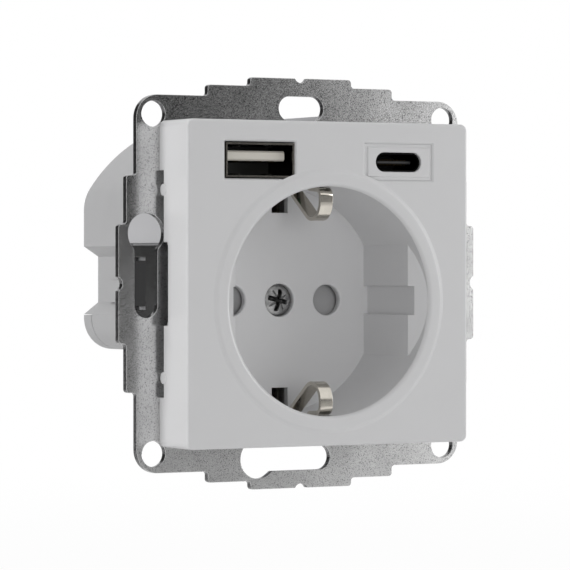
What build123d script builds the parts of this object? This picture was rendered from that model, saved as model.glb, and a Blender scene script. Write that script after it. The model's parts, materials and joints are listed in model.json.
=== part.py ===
"""Flush-mounted earthed wall socket with a USB-A and a USB-C port.

Millimetres. X runs right, Z runs up, and the front of the socket faces -Y.
The origin is the centre of the support frame's rear face, which lies on the wall.
Depths are written y_..., heights z_..., and a half size ends in _half.
"""

from build123d import *
import os

os.makedirs("parts", exist_ok=True)

# Support frame, pressed from steel sheet
frame_thick = 1.2
frame_half = 31.85
frame_corner_r = 4.0
step_mid_half, step_mid_length = 33.75, 36.5
step_out_half, step_out_length = 35.2, 20.0
step_round = 0.6
notch_depth, notch_half = 0.75, 1.2
corner_hole_r, corner_hole_spacing = 2.2, 57.2
box_screw_radius = 30.0
keyhole_r, keyhole_offset = 3.4, 8.5
keyhole_slot_width, keyhole_slot_end = 4.3, 5.7
keyhole_neck_r = 0.9
plain_slot_length, plain_slot_width = 8.8, 4.2
opening_half_z, opening_r = 25.1, 4.0
tab_gap = 0.3
tab_half, tab_length = 6.5, 14.0
tab_relief = 0.8
tab_window_half, tab_window_start, tab_window_length = 4.5, 6.9, 5.3
tab_bend_r = 0.5

# Cover plate with its socket cup
cover_size = 55.0
cover_corner_r = 1.2
cover_edge_r = 0.5
cover_stand = 10.0
plate_thick = 2.0
skirt_wall = 1.6
relief_long_half, relief_shallow = 19.1, 1.55
relief_short_half, relief_deep = 7.0, 3.1
bump_at, bump_r, bump_proud = 15.8, 1.0, 0.15
cup_drop = 3.0
cup_r, cup_depth, cup_wall, floor_thick = 19.5, 17.5, 1.4, 1.3
lip_width, lip_proud, lip_bevel = 1.9, 0.4, 0.3
pad_inset, pad_setback = 2.5, 2.6
groove_height, groove_depth = 5.0, 0.8
pin_x, pin_hole_r = 9.5, 2.66
rib_thick, rib_depth, rib_spread = 1.0, 4.0, 16.0

# Centre screw, its counterbore and the boss that seats on the earth bridge
head_r, head_height, head_sunk = 2.7, 1.6, 0.3
head_chamfer = 0.5
head_clearance = 0.15
shank_r, shank_length, shank_bevel = 1.5, 5.0, 0.5
shank_clearance = 0.2
thread_clearance = 0.02
boss_r = 4.0
recess_width, recess_length, recess_depth = 0.75, 3.7, 0.9
star_width, star_length, star_depth = 0.3, 3.3, 0.4

# Ports
port_x, port_z = 13.6, 20.77
port_width, port_height = 13.4, 6.2
port_chamfer = 0.3
collar_wall, collar_depth = 1.0, 3.0
port_sunk = 0.1
usb_a_width, usb_a_height, usb_a_sheet = 13.1, 5.8, 0.3
usb_a_tongue_width, usb_a_tongue_thick = 11.1, 1.7
usb_a_tongue_sunk, usb_a_tongue_rise, usb_a_tongue_bevel = 1.7, 0.75, 0.3
usb_a_block, usb_a_contact_sunk = 1.8, 2.55
usb_a_contact_spacing, usb_a_contact_width, usb_a_contact_thick = 2.3, 1.0, 0.2
usb_c_width, usb_c_height, usb_c_sheet = 8.94, 3.2, 0.3
usb_c_sunk, usb_c_bevel = 0.5, 0.1
usb_c_tongue_width, usb_c_tongue_thick, usb_c_tongue_sunk = 6.7, 0.7, 1.2
usb_c_tongue_bevel = 0.18
usb_c_block, usb_c_contact_sunk = 2.0, 2.3
usb_c_contact_count, usb_c_contact_spacing = 8, 0.7
usb_c_contact_width, usb_c_contact_thick = 0.3, 0.1
bezel_gap, bezel_depth = 0.1, 4.0
usb_board_thick, usb_board_gap = 1.0, 0.1
usb_board_half, usb_board_bottom, usb_board_top = 21.6, 16.0, 24.4
port_gap = 0.05
bezel_step, bezel_border, bezel_bevel = 0.35, 0.55, 0.12
finger_x, finger_y, finger_length, finger_width = 3.2, -7.0, 5.0, 1.6
finger_gap, finger_bend_length, finger_drop = 0.3, 4.0, 0.4

# Earth strip
strip_thick, clip_width = 0.7, 2.4
bridge_thick, bridge_width, bridge_sunk = 0.8, 7.0, 1.7
leg_gap = 0.3
clip_foot_y, clip_neck_y, clip_neck_inset = -3.0, -5.8, 0.35
clip_front_y, clip_shoulder_inset, clip_nose_inset = -9.55, 0.6, 8.25
clip_end_y, clip_end_inset = 1.6, 0.15
clip_foot_r, clip_neck_r, clip_shoulder_r, clip_nose_r = 1.0, 1.0, 1.1, 2.9
clip_slot_width, clip_slot_inset, clip_slot_front = 3.2, 4.3, 9.9
nut_collar_r, nut_collar_height = 3.0, 2.0
nib_width, nib_gap, nib_root = 4.0, 0.05, 0.5

# Socket base and rear housing
box_r, side_flat, shoulder_r = 29.2, 4.0, 7.0
base_gap = 0.4
base_floor_gap = 3.3
pocket_wall = 1.3
strip_gap = 0.4
base_depth = 15.2
housing_depth = 32.8
housing_wall = 1.4
screw_notch_width, screw_notch_depth = 9.0, 2.8
foot_gap = 0.1
shelf_z = -11.8
waist_inset, waist_top, waist_bottom = 2.8, 4.6, -3.5
waist_slope_top, waist_slope_bottom = 1.8, 2.1
bulge_corner_r = 5.6
rear_bevel = 0.7
cap_depth, cap_top, cap_seam = 3.8, -5.6, 0.15
cap_plate = 1.6
guide_wall = 0.7
entry_mouth = 0.3
spigot_wall, spigot_depth, spigot_gap = 1.0, 1.6, 0.1
tab_pocket_half, tab_pocket_depth, tab_pocket_length = 6.9, 0.7, 14.6
lug_half, lug_start, lug_length, lug_proud = 3.9, 7.4, 4.2, 0.7
lug_ramp, lug_root = 3.15, 0.2
tower_half, tower_wall, tower_end = 4.4, 0.7, 25.6
entry_funnel = 0.5
base_pin_r = 2.9
strap_gap, strap_rise = 0.3, 0.6
solder_depth, solder_half = 2.5, 19.5
stop_radius, stop_r, stop_margin = 11.5, 0.7, 4.2
waist_rib_z, waist_rib_half, waist_rib_proud, waist_rib_end = -1.5, 1.9, 0.5, 26.8

# Contacts and terminals
sleeve_r, sleeve_sheet, sleeve_end = 2.35, 0.6, 24.5
sleeve_slit = 1.2
rail_z, rail_thick = -6.8, 0.8
rail_start, rail_end, rail_half = 19.5, 28.0, 4.7
neck_width = 2.0
terminal_inset, entry_spread, entry_z, entry_r = 9.0, 3.2, -8.6, 1.5
spring_sheet, leaf_width, spring_floor = 0.35, 2.4, -10.1
spring_front, spring_loop_y, leaf_tip_y, leaf_tip_drop = 20.6, 28.3, 22.0, 0.6
spring_loop_height, spring_loop_lean, spring_bend_r, spring_bar = 0.8, 0.3, 0.3, 4.0
lever_width, lever_height, lever_proud = 2.0, 2.4, 0.7
lever_clearance, lever_round = 0.15, 0.3
lever_flange, lever_flange_thick, flange_gap = 0.45, 1.0, 0.1
stem_width, stem_height, stem_front, stem_bevel = 1.6, 1.6, 23.0, 0.3

# Shutter
shutter_gap, shutter_thick = 0.3, 2.4
hub_r, wing_r, wing_half_angle = 5.9, 13.0, 20.0
hub_gap = 0.15
shutter_swing = 38.0
ramp_drop, wing_span = 1.2, 5.2
spring_wire, spring_turns, spring_rise = 0.2, 2.0, 0.85
spring_coil_r, spring_gap = 4.75, 0.05
spring_recess_r = 5.6

# Charger electronics
board_y, board_thick = 17.6, 1.4
board_half, board_bottom, board_top = 16.4, 3.4, 25.0
board_edge_gap = 1.2
post_r, post_x, post_z = 1.8, 13.4, 6.2
upper_post_x, upper_post_z = 9.5, 22.6
post_screw_r, post_screw_head_r, post_screw_head = 0.7, 1.4, 0.9
post_screw_grip, post_screw_chamfer = 5.0, 0.3
link_count, link_spacing, link_size, link_z = 6, 2.0, 0.6, 21.5
link_gap, link_tail = 0.1, 0.8
link_passage_width, link_passage_height = 14.0, 2.6
core_x, core_z, core_width, core_depth, core_height = 0.0, 12.6, 10.0, 11.6, 9.6
core_web, core_round, window_rho, window_width = 1.8, 0.4, 3.9, 2.4
coil_gap, coil_overhang = 0.15, 1.4
input_can = (-11.4, 13.2, 4.0, 11.0)
output_can = (11.2, 13.2, 3.15, 9.0)
choke_can = (-11.6, 20.8, 3.0, 7.5)
can_bevel, can_groove, can_groove_at = 0.5, 0.3, 2.0
low_row_z = 5.2
fuse_x, fuse_r, fuse_height = 5.4, 1.4, 8.0
varistor_x, varistor_r, varistor_thick = -1.5, 3.4, 1.6
chip_length, chip_width, chip_height, chip_bevel = 4.8, 3.8, 1.4, 0.28
rectifier_place, controller_place = (11.0, 19.8), (0.0, 10.0)
housing_screw_inset, housing_screw_z = 4.4, 10.0
housing_screw_r, housing_head_r, housing_head_height = 1.1, 2.3, 1.6
housing_head_sunk, housing_screw_grip = 0.4, 8.0
housing_head_chamfer, housing_recess_length = 0.4, 2.6
housing_boss_r = 3.2
lead_r, lead_bend_r, lead_y = 0.5, 1.4, 22.6

# Depths and heights that follow from the sizes above
y_frame_front = -frame_thick
y_front = y_frame_front - cover_stand
y_plate_back = y_front + plate_thick
y_pad_front = y_front + pad_setback
y_floor = y_front + cup_depth
y_floor_back = y_floor + floor_thick
y_base_floor = y_floor_back + base_floor_gap
y_bridge = y_base_floor + bridge_sunk
y_bridge_back = y_bridge + bridge_thick
y_rear = housing_depth
y_cap = y_rear - cap_depth
y_head = y_floor + head_sunk
y_head_seat = y_head + head_height
y_port = y_front + port_sunk
y_usb_board_back = -usb_board_gap
y_usb_board = y_usb_board_back - usb_board_thick
y_shutter = y_floor_back + shutter_gap
y_shutter_back = y_shutter + shutter_thick
y_board_back = board_y + board_thick
y_spring = y_shutter_back + spring_wire + spring_gap
y_flange = y_cap - flange_gap
cup_z = -cup_drop
side_half = box_r - side_flat
waist_half = side_half - waist_inset
lug_x = side_half - tab_pocket_depth
opening_half_x = lug_x + tab_gap
housing_screw_x = side_half - housing_screw_inset
terminal_x = side_half - terminal_inset
pad_x = cup_r - pad_inset
lip_r = cup_r + lip_width
clip_slot_inner = cup_r - clip_slot_inset
cover_half = cover_size / 2
leg_rho = cup_r + cup_wall + leg_gap + strip_thick / 2
leg_outer = leg_rho + strip_thick / 2
rail_top = rail_z + rail_thick / 2
post_places = [(-post_x, post_z), (post_x, post_z)]
upper_post_places = [(-upper_post_x, upper_post_z), (upper_post_x, upper_post_z)]
terminal_places = (-terminal_x, 0.0, terminal_x)
cut_past = 3.0
near = 0.01
cavity = 60.0


def facing(y):
    """Plane across the socket at depth y: its x runs right, its y runs up, its normal faces the front."""
    return Plane(origin=(0, y, 0), x_dir=(1, 0, 0), z_dir=(0, -1, 0))


def finish(piece, name):
    """Label a finished piece and write it out."""
    piece.part.label = name
    export_step(piece.part, f"parts/{name}.step")


# Hollow of the socket cup: guide flats with a centre groove, opening to a full circle at the front
with BuildPart() as cup_hollow:
    with BuildSketch(Plane.XY.offset(cup_z - cup_r)):
        with BuildLine():
            Polyline(
                (pad_x, y_pad_front),
                (cup_r + cut_past, y_pad_front - (cup_r + cut_past - pad_x)),
                (cup_r + cut_past, y_front - cut_past),
                (pad_x, y_front - cut_past),
                close=True,
            )
        make_face()
        mirror(about=Plane.YZ)
    extrude(amount=2 * cup_r)
    with BuildSketch(facing(y_floor)):
        with Locations((0, cup_z)):
            Circle(cup_r)
    extrude(amount=cup_depth + cut_past, mode=Mode.INTERSECT)
    with BuildSketch(facing(y_floor)):
        with Locations((0, cup_z)):
            Circle(cup_r)
            Rectangle(2 * pad_x, 2 * cup_r, mode=Mode.INTERSECT)
            Rectangle(2 * (pad_x + groove_depth), groove_height)
    extrude(amount=cup_depth + cut_past)

# Cover plate
with BuildPart() as cover_plate:
    with BuildSketch(facing(y_frame_front)):
        RectangleRounded(cover_size, cover_size, cover_corner_r)
    extrude(amount=cover_stand)
    fillet(cover_plate.faces().sort_by(Axis.Y)[0].edges(), cover_edge_r)
    with BuildSketch(facing(y_frame_front)):
        Rectangle(cover_size - 2 * skirt_wall, cover_size - 2 * skirt_wall)
    extrude(amount=cover_stand - plate_thick, mode=Mode.SUBTRACT)
    # The skirt's rear edge steps back towards the middle of each side
    for half_length, depth in ((relief_long_half, relief_shallow), (relief_short_half, relief_deep)):
        with BuildSketch(facing(y_frame_front)):
            Rectangle(2 * half_length, 2 * cover_size)
            Rectangle(2 * cover_size, 2 * half_length)
        extrude(amount=depth, mode=Mode.SUBTRACT)
    # Round snap bumps on the stepped edge
    for turn in range(4):
        outward = Vector(1, 0, 0).rotate(Axis.Y, 90 * turn)
        along = Vector(0, 0, 1).rotate(Axis.Y, 90 * turn)
        with BuildSketch(Plane(origin=outward * (cover_half - skirt_wall), x_dir=along, z_dir=outward)):
            with Locations(*[(side * bump_at, -y_frame_front + relief_shallow) for side in (-1, 1)]):
                Circle(bump_r)
        extrude(amount=skirt_wall + bump_proud)
    # Cup tube, rim lip, screw boss, port collars and ribs
    with BuildSketch(facing(y_floor_back)):
        with Locations((0, cup_z)):
            Circle(cup_r + cup_wall)
    extrude(amount=y_floor_back - y_plate_back)
    with BuildSketch(facing(y_bridge)):
        with Locations((0, cup_z)):
            Circle(boss_r)
    extrude(amount=y_bridge - y_floor_back)
    with BuildSketch(facing(y_front)):
        with Locations((0, cup_z)):
            Circle(lip_r)
    extrude(amount=lip_proud)
    with BuildSketch(facing(y_plate_back + collar_depth)):
        with Locations((-port_x, port_z), (port_x, port_z)):
            Rectangle(port_width + 2 * collar_wall, port_height + 2 * collar_wall)
    extrude(amount=collar_depth)
    with BuildSketch(facing(y_plate_back + rib_depth)):
        with Locations((0, cup_z - rib_spread / 2), (0, cup_z + rib_spread / 2)):
            Rectangle(cover_size - skirt_wall, rib_thick)
        with Locations(*[(side * rib_spread / 2, -cover_half / 2) for side in (-1, 1)]):
            Rectangle(rib_thick, cover_half - skirt_wall)
        with Locations((0, cup_z)):
            Circle(cup_r + cup_wall / 2, mode=Mode.SUBTRACT)
    extrude(amount=rib_depth)
    add(cup_hollow.part, mode=Mode.SUBTRACT)
    chamfer(cover_plate.faces().sort_by(Axis.Y)[0].edges(), lip_bevel)
    # Port windows, bevelled at the front
    with BuildSketch(facing(y_plate_back + collar_depth)):
        with Locations((-port_x, port_z), (port_x, port_z)):
            Rectangle(port_width, port_height)
    extrude(amount=collar_depth + plate_thick, mode=Mode.SUBTRACT)
    port_rims = (
        cover_plate.edges()
        .filter_by_position(Axis.Y, y_front - near, y_front + near)
        .filter_by(lambda edge: edge.geom_type == GeomType.LINE and edge.length < port_width + near)
        .filter_by_position(Axis.Z, port_z - port_height, port_z + port_height)
    )
    chamfer(port_rims, port_chamfer)
    # Slots that let the earth clips into the cup
    with BuildSketch(facing(y_floor_back)):
        with Locations(*[(0, cup_z + way * (clip_slot_inner + leg_outer) / 2) for way in (-1, 1)]):
            Rectangle(clip_slot_width, leg_outer - clip_slot_inner)
    extrude(amount=y_floor_back + clip_slot_front, mode=Mode.SUBTRACT)
    # Pin holes, screw hole and counterbore
    with BuildSketch(facing(y_floor_back)):
        with Locations((-pin_x, cup_z), (pin_x, cup_z)):
            Circle(pin_hole_r)
    extrude(amount=floor_thick, mode=Mode.SUBTRACT)
    with BuildSketch(facing(y_head_seat)):
        with Locations((0, cup_z)):
            Circle(head_r + head_clearance)
    extrude(amount=y_head_seat - y_floor, mode=Mode.SUBTRACT)
    with BuildSketch(facing(y_bridge)):
        with Locations((0, cup_z)):
            Circle(shank_r + shank_clearance)
    extrude(amount=y_bridge - y_head_seat, mode=Mode.SUBTRACT)
finish(cover_plate, "cover_plate")

# Centre screw with a domed head and a cross recess
with BuildPart() as cover_screw:
    with BuildSketch(facing(y_head_seat)):
        with Locations((0, cup_z)):
            Circle(head_r)
    extrude(amount=head_height)
    chamfer(cover_screw.faces().sort_by(Axis.Y)[0].edges(), head_chamfer)
    with BuildSketch(facing(y_bridge_back + shank_length)):
        with Locations((0, cup_z)):
            Circle(shank_r)
    extrude(amount=y_bridge_back + shank_length - y_head_seat)
    chamfer(cover_screw.faces().sort_by(Axis.Y)[-1].edges(), shank_bevel)
    for width, length, depth, turn in (
        (recess_width, recess_length, recess_depth, 0),
        (star_width, star_length, star_depth, 45),
    ):
        with BuildSketch(facing(y_head)):
            with Locations(Location((0, cup_z, 0), (0, 0, turn))):
                Rectangle(length, width)
                Rectangle(width, length)
        extrude(amount=-depth, mode=Mode.SUBTRACT)
finish(cover_screw, "cover_screw")

# One keyhole, drawn pointing up with its slot on the screw line
with BuildSketch() as keyhole:
    with Locations((0, -keyhole_offset)):
        Circle(keyhole_r)
    slot_end_z = keyhole_slot_end - keyhole_slot_width / 2
    with Locations((0, (slot_end_z - keyhole_offset) / 2)):
        SlotCenterToCenter(slot_end_z + keyhole_offset, keyhole_slot_width, rotation=90)
    neck = keyhole.vertices().filter_by_position(Axis.Y, -keyhole_offset + near, 0)
    fillet(neck, keyhole_neck_r)

# Support frame
notch_r = (notch_half**2 + notch_depth**2) / (2 * notch_depth)
with BuildPart() as support_frame:
    with BuildSketch(facing(0)) as frame_outline:
        RectangleRounded(2 * frame_half, 2 * frame_half, frame_corner_r)
        for length, half in ((step_mid_length, step_mid_half), (step_out_length, step_out_half)):
            Rectangle(length, 2 * half)
            Rectangle(2 * half, length)
        steps = frame_outline.vertices().filter_by(
            lambda v: min(abs(v.X), abs(v.Z if abs(v.Z) > abs(v.Y) else v.Y)) < step_mid_length / 2 + near
        )
        fillet(steps, step_round)
        with PolarLocations(step_out_half - notch_depth + notch_r, 4):
            Circle(notch_r, mode=Mode.SUBTRACT)
        with GridLocations(corner_hole_spacing, corner_hole_spacing, 2, 2):
            Circle(corner_hole_r, mode=Mode.SUBTRACT)
        with PolarLocations(box_screw_radius, 3, start_angle=180, angular_range=180, endpoint=True):
            add(keyhole.sketch, mode=Mode.SUBTRACT)
        with Locations((0, box_screw_radius)):
            SlotOverall(plain_slot_length, plain_slot_width, mode=Mode.SUBTRACT)
        RectangleRounded(2 * opening_half_x, 2 * opening_half_z, opening_r, mode=Mode.SUBTRACT)
        # Nib that earths the frame on the lower leg of the earth strip
        nib_top = cup_z - leg_outer - nib_gap
        with Locations((0, nib_top)):
            Rectangle(nib_width, nib_top + opening_half_z + nib_root, align=(Align.CENTER, Align.MAX))
    extrude(amount=frame_thick)
    # Side tabs, folded back from the opening and relieved at both ends
    for side in (-1, 1):
        with BuildSketch(facing(tab_length)):
            with Locations((side * (opening_half_x + frame_thick / 2), 0)):
                Rectangle(frame_thick, 2 * tab_half)
        extrude(amount=tab_length - y_frame_front)
    with BuildSketch(facing(0)):
        for side in (-1, 1):
            with Locations(*[(side * (opening_half_x + frame_thick / 2), way * (tab_half + tab_relief / 2))
                             for way in (-1, 1)]):
                Rectangle(frame_thick, tab_relief)
    extrude(amount=frame_thick, mode=Mode.SUBTRACT)
    with BuildSketch(Plane.YZ.offset(-step_out_half)):
        with Locations((tab_window_start + tab_window_length / 2, 0)):
            Rectangle(tab_window_length, 2 * tab_window_half)
    extrude(amount=2 * step_out_half, mode=Mode.SUBTRACT)
    tab_lines = support_frame.edges().filter_by(Axis.Z).filter_by(lambda e: abs(e.length - 2 * tab_half) < near)
    outer_bend = tab_lines.filter_by_position(Axis.Y, y_frame_front - near, y_frame_front + near)
    fillet(outer_bend, tab_bend_r + frame_thick / 2)
finish(support_frame, "support_frame")

# Earth strip: a bar behind the cup floor, and a folded spring clip at each end
with BuildPart() as earth_bridge:
    with BuildSketch(facing(y_bridge_back)):
        with Locations((0, cup_z)):
            Rectangle(bridge_width, 2 * leg_outer)
    extrude(amount=bridge_thick)
    for way in (1, -1):
        clip_points = [
            (y_bridge_back, leg_rho),
            (clip_foot_y, leg_rho),
            (clip_neck_y, cup_r - clip_neck_inset),
            (clip_front_y, cup_r - clip_shoulder_inset),
            (clip_front_y, cup_r - clip_nose_inset),
            (clip_end_y, cup_r - clip_end_inset),
        ]
        with BuildSketch(Plane.YZ):
            with BuildLine():
                FilletPolyline(
                    *[(y, cup_z + way * rho) for y, rho in clip_points],
                    radius=[clip_foot_r, clip_neck_r, clip_shoulder_r, clip_nose_r],
                )
            trace(line_width=strip_thick)
        extrude(amount=clip_width / 2, both=True)
    with BuildSketch(facing(y_bridge_back + nut_collar_height)):
        with Locations((0, cup_z)):
            Circle(nut_collar_r)
    extrude(amount=nut_collar_height)
    with BuildSketch(facing(y_bridge_back + nut_collar_height)):
        with Locations((0, cup_z)):
            Circle(shank_r + thread_clearance)
    extrude(amount=nut_collar_height + bridge_thick, mode=Mode.SUBTRACT)
    # Tail that runs back to the earth terminal
    with BuildSketch(Plane.XY.offset(rail_z - rail_thick / 2)):
        with Locations((0, (y_bridge + rail_end) / 2)):
            Rectangle(2 * neck_width, rail_end - y_bridge)
        with Locations((0, (rail_start + rail_end) / 2)):
            Rectangle(2 * rail_half, rail_end - rail_start)
    extrude(amount=rail_thick)
finish(earth_bridge, "earth_bridge")

# Recess in each side of the rear housing, where the frame's tabs reach back
with BuildSketch() as waist_recess:
    with BuildLine():
        Polyline(
            (box_r, waist_top + waist_slope_top * (box_r - waist_half) / (side_half - waist_half)),
            (waist_half, waist_top),
            (waist_half, waist_bottom),
            (side_half, waist_bottom - waist_slope_bottom),
            (box_r, waist_bottom - waist_slope_bottom),
            close=True,
        )
    make_face()
    mirror(about=Plane.YZ)

# Outline of the rear housing: a circle cut by side flats, a waist, and a lower bulge with a flat foot
with BuildSketch() as rear_profile:
    Circle(box_r)
    Rectangle(2 * side_half, 2 * box_r, mode=Mode.INTERSECT)
    fillet(rear_profile.vertices().group_by(Axis.Y)[-1], shoulder_r)
    with Locations((0, shelf_z)):
        Rectangle(2 * box_r, 2 * box_r, align=(Align.CENTER, Align.MIN), mode=Mode.INTERSECT)
    fillet(rear_profile.vertices().group_by(Axis.Y)[0], bulge_corner_r)
    add(waist_recess.sketch, mode=Mode.SUBTRACT)
    with Locations((0, box_r)):
        Rectangle(screw_notch_width, 2 * screw_notch_depth, mode=Mode.SUBTRACT)

with BuildSketch() as rear_inside:
    add(rear_profile.sketch)
    offset(amount=-housing_wall)

# Socket base: carries the contacts, the earth strip and the shutter
foot_z = foot_gap - box_screw_radius + keyhole_r
y_pocket = y_base_floor + pocket_wall
tower_inside = 2 * (tower_half - tower_wall)
strap_slot_top = cup_z - tower_half + tower_wall + strap_rise
strap_slot_height = strap_slot_top - (rail_z - rail_thick / 2 - strap_gap)
with BuildPart() as socket_base:
    with BuildSketch(facing(base_depth)) as base_outline:
        Circle(box_r)
        Rectangle(2 * side_half, 2 * box_r, mode=Mode.INTERSECT)
        fillet(base_outline.vertices(), shoulder_r)
        with Locations((0, box_r)):
            Rectangle(screw_notch_width, 2 * screw_notch_depth, mode=Mode.SUBTRACT)
        with Locations((0, foot_z)):
            Rectangle(2 * box_r, 2 * box_r - foot_z, align=(Align.CENTER, Align.MIN), mode=Mode.INTERSECT)
    extrude(amount=base_depth)
    # Spigot that centres the rear housing, broken where the screw bosses come down
    with BuildSketch(facing(base_depth + spigot_depth)):
        add(rear_inside.sketch)
        offset(amount=-spigot_gap)
        with BuildSketch(mode=Mode.PRIVATE) as spigot_core:
            add(rear_inside.sketch)
            offset(amount=-spigot_gap - spigot_wall)
        add(spigot_core.sketch, mode=Mode.SUBTRACT)
        with Locations((-housing_screw_x, housing_screw_z), (housing_screw_x, housing_screw_z)):
            Circle(housing_boss_r + spigot_gap, mode=Mode.SUBTRACT)
    extrude(amount=spigot_depth)
    # Contact towers and the posts under the power board
    with BuildSketch(facing(tower_end)):
        with Locations((-pin_x, cup_z), (pin_x, cup_z)):
            Rectangle(2 * tower_half, 2 * tower_half)
    extrude(amount=tower_end - base_depth)
    with BuildSketch(facing(board_y)):
        with Locations(*post_places, *upper_post_places):
            Circle(post_r)
    extrude(amount=board_y - base_depth)
    # Room for the cup, the shutter spring, the earth strip and the nut collar
    with BuildSketch(facing(y_base_floor)):
        with Locations((0, cup_z)):
            Circle(cup_r + cup_wall + base_gap)
    extrude(amount=y_base_floor, mode=Mode.SUBTRACT)
    with BuildSketch(facing(y_bridge)):
        with Locations((0, cup_z)):
            Circle(spring_recess_r)
    extrude(amount=y_bridge - y_base_floor, mode=Mode.SUBTRACT)
    with BuildSketch(facing(y_bridge_back)):
        with Locations((0, cup_z)):
            Rectangle(bridge_width + 2 * strip_gap, 2 * (leg_outer + strip_gap))
    extrude(amount=y_bridge_back - y_base_floor, mode=Mode.SUBTRACT)
    with BuildSketch(facing(y_bridge_back)):
        with Locations(*[(0, cup_z + way * leg_rho) for way in (-1, 1)]):
            Rectangle(clip_width + 2 * strip_gap, strip_thick + 2 * strip_gap)
    extrude(amount=y_bridge_back, mode=Mode.SUBTRACT)
    with BuildSketch(facing(base_depth + spigot_depth)):
        with Locations((0, cup_z)):
            Circle(nut_collar_r + strip_gap)
        with Locations((0, rail_z)):
            Rectangle(2 * (neck_width + strip_gap), rail_thick + 2 * strip_gap)
    extrude(amount=base_depth + spigot_depth - y_bridge_back, mode=Mode.SUBTRACT)
    # Pin entries and contact pockets
    with BuildSketch(facing(y_pocket)):
        with Locations((-pin_x, cup_z), (pin_x, cup_z)):
            Circle(base_pin_r)
    extrude(amount=pocket_wall, mode=Mode.SUBTRACT)
    entry_rims = (
        socket_base.edges()
        .filter_by(GeomType.CIRCLE)
        .filter_by_position(Axis.Y, y_base_floor - near, y_base_floor + near)
        .filter_by(lambda edge: abs(edge.radius - base_pin_r) < near)
    )
    chamfer(entry_rims, entry_funnel)
    with BuildSketch(facing(tower_end)):
        with Locations((-pin_x, cup_z), (pin_x, cup_z)):
            Rectangle(tower_inside, tower_inside)
    extrude(amount=tower_end - y_pocket, mode=Mode.SUBTRACT)
    # Slots in the towers for the contact straps and the charger leads
    with BuildSketch(facing(tower_end)):
        with Locations(*[(side * (pin_x + tower_half / 2), strap_slot_top) for side in (-1, 1)]):
            Rectangle(tower_half + 2 * neck_width, strap_slot_height, align=(Align.CENTER, Align.MAX))
    extrude(amount=tower_end - rail_start + strap_gap, mode=Mode.SUBTRACT)
    with BuildSketch(facing(tower_end)):
        with Locations(*[(side * pin_x, cup_z + tower_half) for side in (-1, 1)]):
            Rectangle(2 * (lead_r + strap_gap), 3 * tower_wall)
    extrude(amount=tower_end - lead_y + lead_r + strap_gap, mode=Mode.SUBTRACT)
    # Recess for the solder side of the USB board, and the passage for its link pins
    with BuildSketch(facing(solder_depth)):
        Circle(box_r - housing_wall)
        with Locations((0, port_z)):
            Rectangle(2 * solder_half, port_height, mode=Mode.INTERSECT)
    extrude(amount=solder_depth, mode=Mode.SUBTRACT)
    with BuildSketch(facing(base_depth + spigot_depth)):
        with Locations((0, link_z)):
            Rectangle(link_passage_width, link_passage_height)
    extrude(amount=base_depth + spigot_depth, mode=Mode.SUBTRACT)
    # Pockets for the frame's tabs, each with a snap lug that sits in the tab's window
    with BuildSketch(facing(tab_pocket_length)):
        for side in (-1, 1):
            with Locations((side * (lug_x + tab_pocket_depth), 0)):
                Rectangle(2 * tab_pocket_depth, 2 * tab_pocket_half)
    extrude(amount=tab_pocket_length, mode=Mode.SUBTRACT)
    with BuildSketch(Plane.XY.offset(-lug_half)):
        with BuildLine():
            Polyline(
                (lug_x - lug_root, lug_start),
                (lug_x, lug_start),
                (side_half + lug_proud, lug_start + lug_ramp),
                (side_half + lug_proud, lug_start + lug_length),
                (lug_x - lug_root, lug_start + lug_length),
                close=True,
            )
        make_face()
        mirror(about=Plane.YZ)
    extrude(amount=2 * lug_half)
    # Stops at both ends of the shutter's swing
    for stop_angle in (wing_half_angle + stop_margin, -wing_half_angle - shutter_swing - stop_margin):
        with BuildSketch(facing(y_base_floor)):
            with Locations((0, cup_z)):
                with PolarLocations(stop_radius, 2, start_angle=stop_angle):
                    Circle(stop_r)
        extrude(amount=y_base_floor - y_shutter - shutter_gap)
    # Screw holes for the rear housing and the power board
    with BuildSketch(facing(base_depth)):
        with Locations((-housing_screw_x, housing_screw_z), (housing_screw_x, housing_screw_z)):
            Circle(housing_screw_r + thread_clearance)
    extrude(amount=housing_screw_grip, mode=Mode.SUBTRACT)
    with BuildSketch(facing(board_y)):
        with Locations(*post_places):
            Circle(post_screw_r + thread_clearance)
    extrude(amount=post_screw_grip, mode=Mode.SUBTRACT)
finish(socket_base, "socket_base")

# Rear block: the outside of the rear housing and the terminal cover together
with BuildPart() as rear_block:
    with BuildSketch(facing(y_rear)):
        add(rear_profile.sketch)
    extrude(amount=y_rear - base_depth)
    chamfer(rear_block.faces().sort_by(Axis.Y)[-1].edges(), rear_bevel)

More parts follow.
